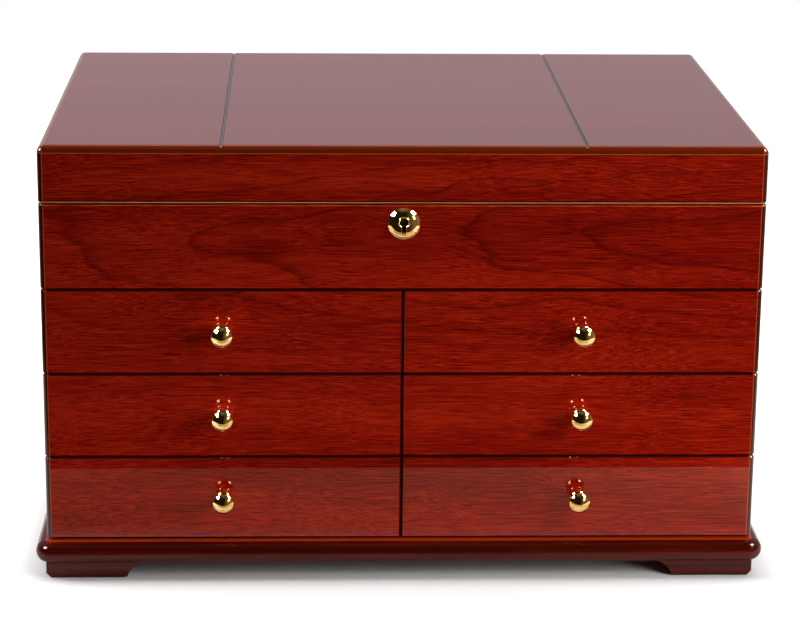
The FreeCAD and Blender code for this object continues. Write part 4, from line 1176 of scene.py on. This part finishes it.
def make_world():
    """Light from all round: backdrop, room and ceiling, and plain white for the camera."""
    world = bpy.data.worlds.new("studio")
    bpy.context.scene.world = world
    world.use_nodes = True
    tree = world.node_tree
    tree.nodes.clear()
    x, y, z = split(tree, node(tree, "ShaderNodeTexCoord").outputs["Generated"])
    rightwards = between(tree, x, RIGHT_FROM, RIGHT_FULL)
    backwards = between(tree, y, BACKDROP_FROM, BACKDROP_FULL)
    overhead = between(tree, z, CEILING_FROM, CEILING_FULL)
    light = mix(tree, rightwards, ROOM_LIGHT, ROOM_RIGHT)
    light = mix(tree, backwards, light, BACKDROP_LIGHT)
    light = mix(tree, overhead, light, CEILING_LIGHT)
    seen = node(tree, "ShaderNodeLightPath").outputs["Is Camera Ray"]
    room = node(tree, "ShaderNodeBackground", {"Strength": 1.0, "Color": light})
    white = node(tree, "ShaderNodeBackground", {"Strength": 1.0, "Color": PAPER_WHITE})
    chosen = node(tree, "ShaderNodeMixShader", {0: seen, 1: room.outputs[0], 2: white.outputs[0]})
    node(tree, "ShaderNodeOutputWorld", {"Surface": chosen.outputs[0]})
    return world


world = make_world()
bpy.context.scene.view_settings.view_transform = "Standard"
print(f"world of {len(world.node_tree.nodes)} nodes")

# %% [markdown]
# ## The table
#
# The table is a white sheet that stops a hand's breadth in front of the box, so that the upper
# drawers mirror the dark room and only the lowest ones mirror the table. Its front edge carries
# painted shade, a warm grey in those mirror images, with painted light that makes it lighter on
# the right.

# %% The sheet and the painted shade of its mirrored edge
TABLE_FRONT = -0.341
TABLE_REACH = 1.6
TABLE_HALF_WIDTH = 0.62
TABLE_WHITE = (0.9, 0.9, 0.9, 1)
# Painted shade at the table's edge, with painted light on the right.
TABLE_EDGE_SHADE_LEFT = (0.44, 0.35, 0.25, 1)
TABLE_EDGE_SHADE_RIGHT = (0.80, 0.68, 0.48, 1)
EDGE_BLEND = 0.2
TABLE_SHADE_FROM = -0.205
TABLE_SHADE_FULL = -0.235


def make_table():
    """A flat sheet that stands for the table and isn't part of the humidor."""
    mesh = bpy.data.meshes.new("table")
    corners = [
        (-TABLE_HALF_WIDTH, TABLE_FRONT, 0),
        (TABLE_HALF_WIDTH, TABLE_FRONT, 0),
        (TABLE_HALF_WIDTH, TABLE_REACH, 0),
        (-TABLE_HALF_WIDTH, TABLE_REACH, 0),
    ]
    mesh.from_pydata(corners, [], [(0, 1, 2, 3)])
    table = bpy.data.objects.new("table", mesh)
    bpy.context.scene.collection.objects.link(table)
    return table


def table_colour(tree, axes, seen):
    """White; painted warm grey shade at its edge, lighter on the right, that mirrors and lit pieces
    see.
    """
    rightwards = between(tree, axes[0], -EDGE_BLEND, EDGE_BLEND)
    edge_shade = mix(tree, rightwards, TABLE_EDGE_SHADE_LEFT, TABLE_EDGE_SHADE_RIGHT)
    nearness = between(tree, axes[1], TABLE_SHADE_FULL, TABLE_SHADE_FROM, 1.0, 0.0)
    nearness = product(tree, nearness, calc(tree, "SUBTRACT", 1.0, seen))
    return mix(tree, nearness, TABLE_WHITE, edge_shade)


print(f"table from {TABLE_FRONT} to {TABLE_REACH} m")

# %% [markdown]
# Product photographs fade the table into pure white a little way from the box. A glow that grows
# with the distance does this: behind the box over some 10 cm, and beside it and in front of it
# over 2 cm, so that the soft shadow close to the box stays. The glow mustn't light the wood, so it
# is off for diffuse rays, and the lowest drawers mirror only the part of it next to the box.

# %% The glow that fades the table out
GLOW = 0.5
GLOW_FROM, GLOW_FULL = 0.30, 0.42
BEHIND_FROM, BEHIND_FULL = -0.15, 0.0
FRONT_GLOW = 0.30
FRONT_GLOW_FROM, FRONT_GLOW_FULL = -0.150, -0.172
FRONT_GLOW_MIRRORED_TO = -0.215
SIDE_GLOW = 0.45
SIDE_GLOW_FROM, SIDE_GLOW_FULL = 0.216, 0.240


def table_glow(tree, place, axes, seen, lights_others):
    """How much the table shines of its own, at a place and for one kind of ray."""
    distance = node(tree, "ShaderNodeVectorMath", {0: place}, operation="LENGTH").outputs[1]
    far = between(tree, distance, GLOW_FROM, GLOW_FULL, 0.0, GLOW)
    behind = product(tree, far, between(tree, axes[1], BEHIND_FROM, BEHIND_FULL))
    before = between(tree, axes[1], FRONT_GLOW_FULL, FRONT_GLOW_FROM, FRONT_GLOW, 0.0)
    mirrored = beyond(tree, axes[1], FRONT_GLOW_MIRRORED_TO)
    before = product(tree, before, largest(tree, seen, mirrored))
    off_side = calc(tree, "ABSOLUTE", axes[0])
    beside = between(tree, off_side, SIDE_GLOW_FROM, SIDE_GLOW_FULL, 0.0, SIDE_GLOW)
    glow = largest(tree, calc(tree, "ADD", behind, before), beside)
    return product(tree, glow, calc(tree, "SUBTRACT", 1.0, lights_others))


# %% Dress the table
TABLE_FINISH = {
    "Emission Color": PAPER_WHITE,
    "Roughness": 0.9,
    "Specular IOR Level": 0.0,
}

paper_table, tree, shader = new_material("white_table")
place = node(tree, "ShaderNodeTexCoord").outputs["Object"]
axes = split(tree, place)
rays = node(tree, "ShaderNodeLightPath").outputs
seen = rays["Is Camera Ray"]
tree.links.new(table_colour(tree, axes, seen), shader.inputs["Base Color"])
glow = table_glow(tree, place, axes, seen, rays["Is Diffuse Ray"])
tree.links.new(glow, shader.inputs["Emission Strength"])
fill(shader, TABLE_FINISH)
table = make_table()
table.data.materials.append(paper_table)
print(f"{paper_table.name} of {len(tree.nodes)} nodes")

# %% [markdown]
# ## The lights
#
# There are six area lights, each aimed at the middle of the box. A key light low on the right
# brings out the colour of the fronts and throws the soft shadow. Its image would be a white patch
# in the lacquer, so it isn't mirrored, and a smaller, weaker one beside it makes the glint that
# the brass shows. Two softboxes stand high at the left and at the right, and light nothing: they
# are there only to be mirrored, as the white shapes in the knobs. Two broad fills, over the box
# and far to the left, lift the shadows as white walls would, and aren't mirrored either.

# %% Softboxes
AIM = Vector((0, 0, 0.12))


def softbox(name, place, size, power, mirrored=True, lights_wood=True):
    """An area light aimed at the middle of the box."""
    data = bpy.data.lights.new(name, "AREA")
    data.shape = "RECTANGLE"
    data.size, data.size_y = size
    data.energy = power
    light = bpy.data.objects.new(name, data)
    bpy.context.scene.collection.objects.link(light)
    light.location = place
    aim = AIM - Vector(place)
    light.rotation_mode = "QUATERNION"
    light.rotation_quaternion = aim.to_track_quat("-Z", "Y")
    light.visible_glossy = mirrored
    light.visible_diffuse = lights_wood
    print(f"{name}: {power} W, {aim.length:.2f} m away")


softbox("key_right", (0.90, -0.76, 0.48), (0.56, 0.72), 11.0, mirrored=False)
softbox("glint_right", (0.94, -0.72, 0.60), (0.36, 0.38), 1.0, lights_wood=False)
softbox("high_right", (1.05, -0.40, 1.14), (0.50, 0.45), 52, lights_wood=False)
softbox("high_left", (-1.12, -0.48, 1.05), (0.55, 0.50), 56, lights_wood=False)
softbox("fill_top", (0.15, 0.30, 1.9), (2.4, 1.6), 30, mirrored=False)
softbox("fill_left", (-1.5, 0.30, 0.95), (1.4, 1.2), 26, mirrored=False)
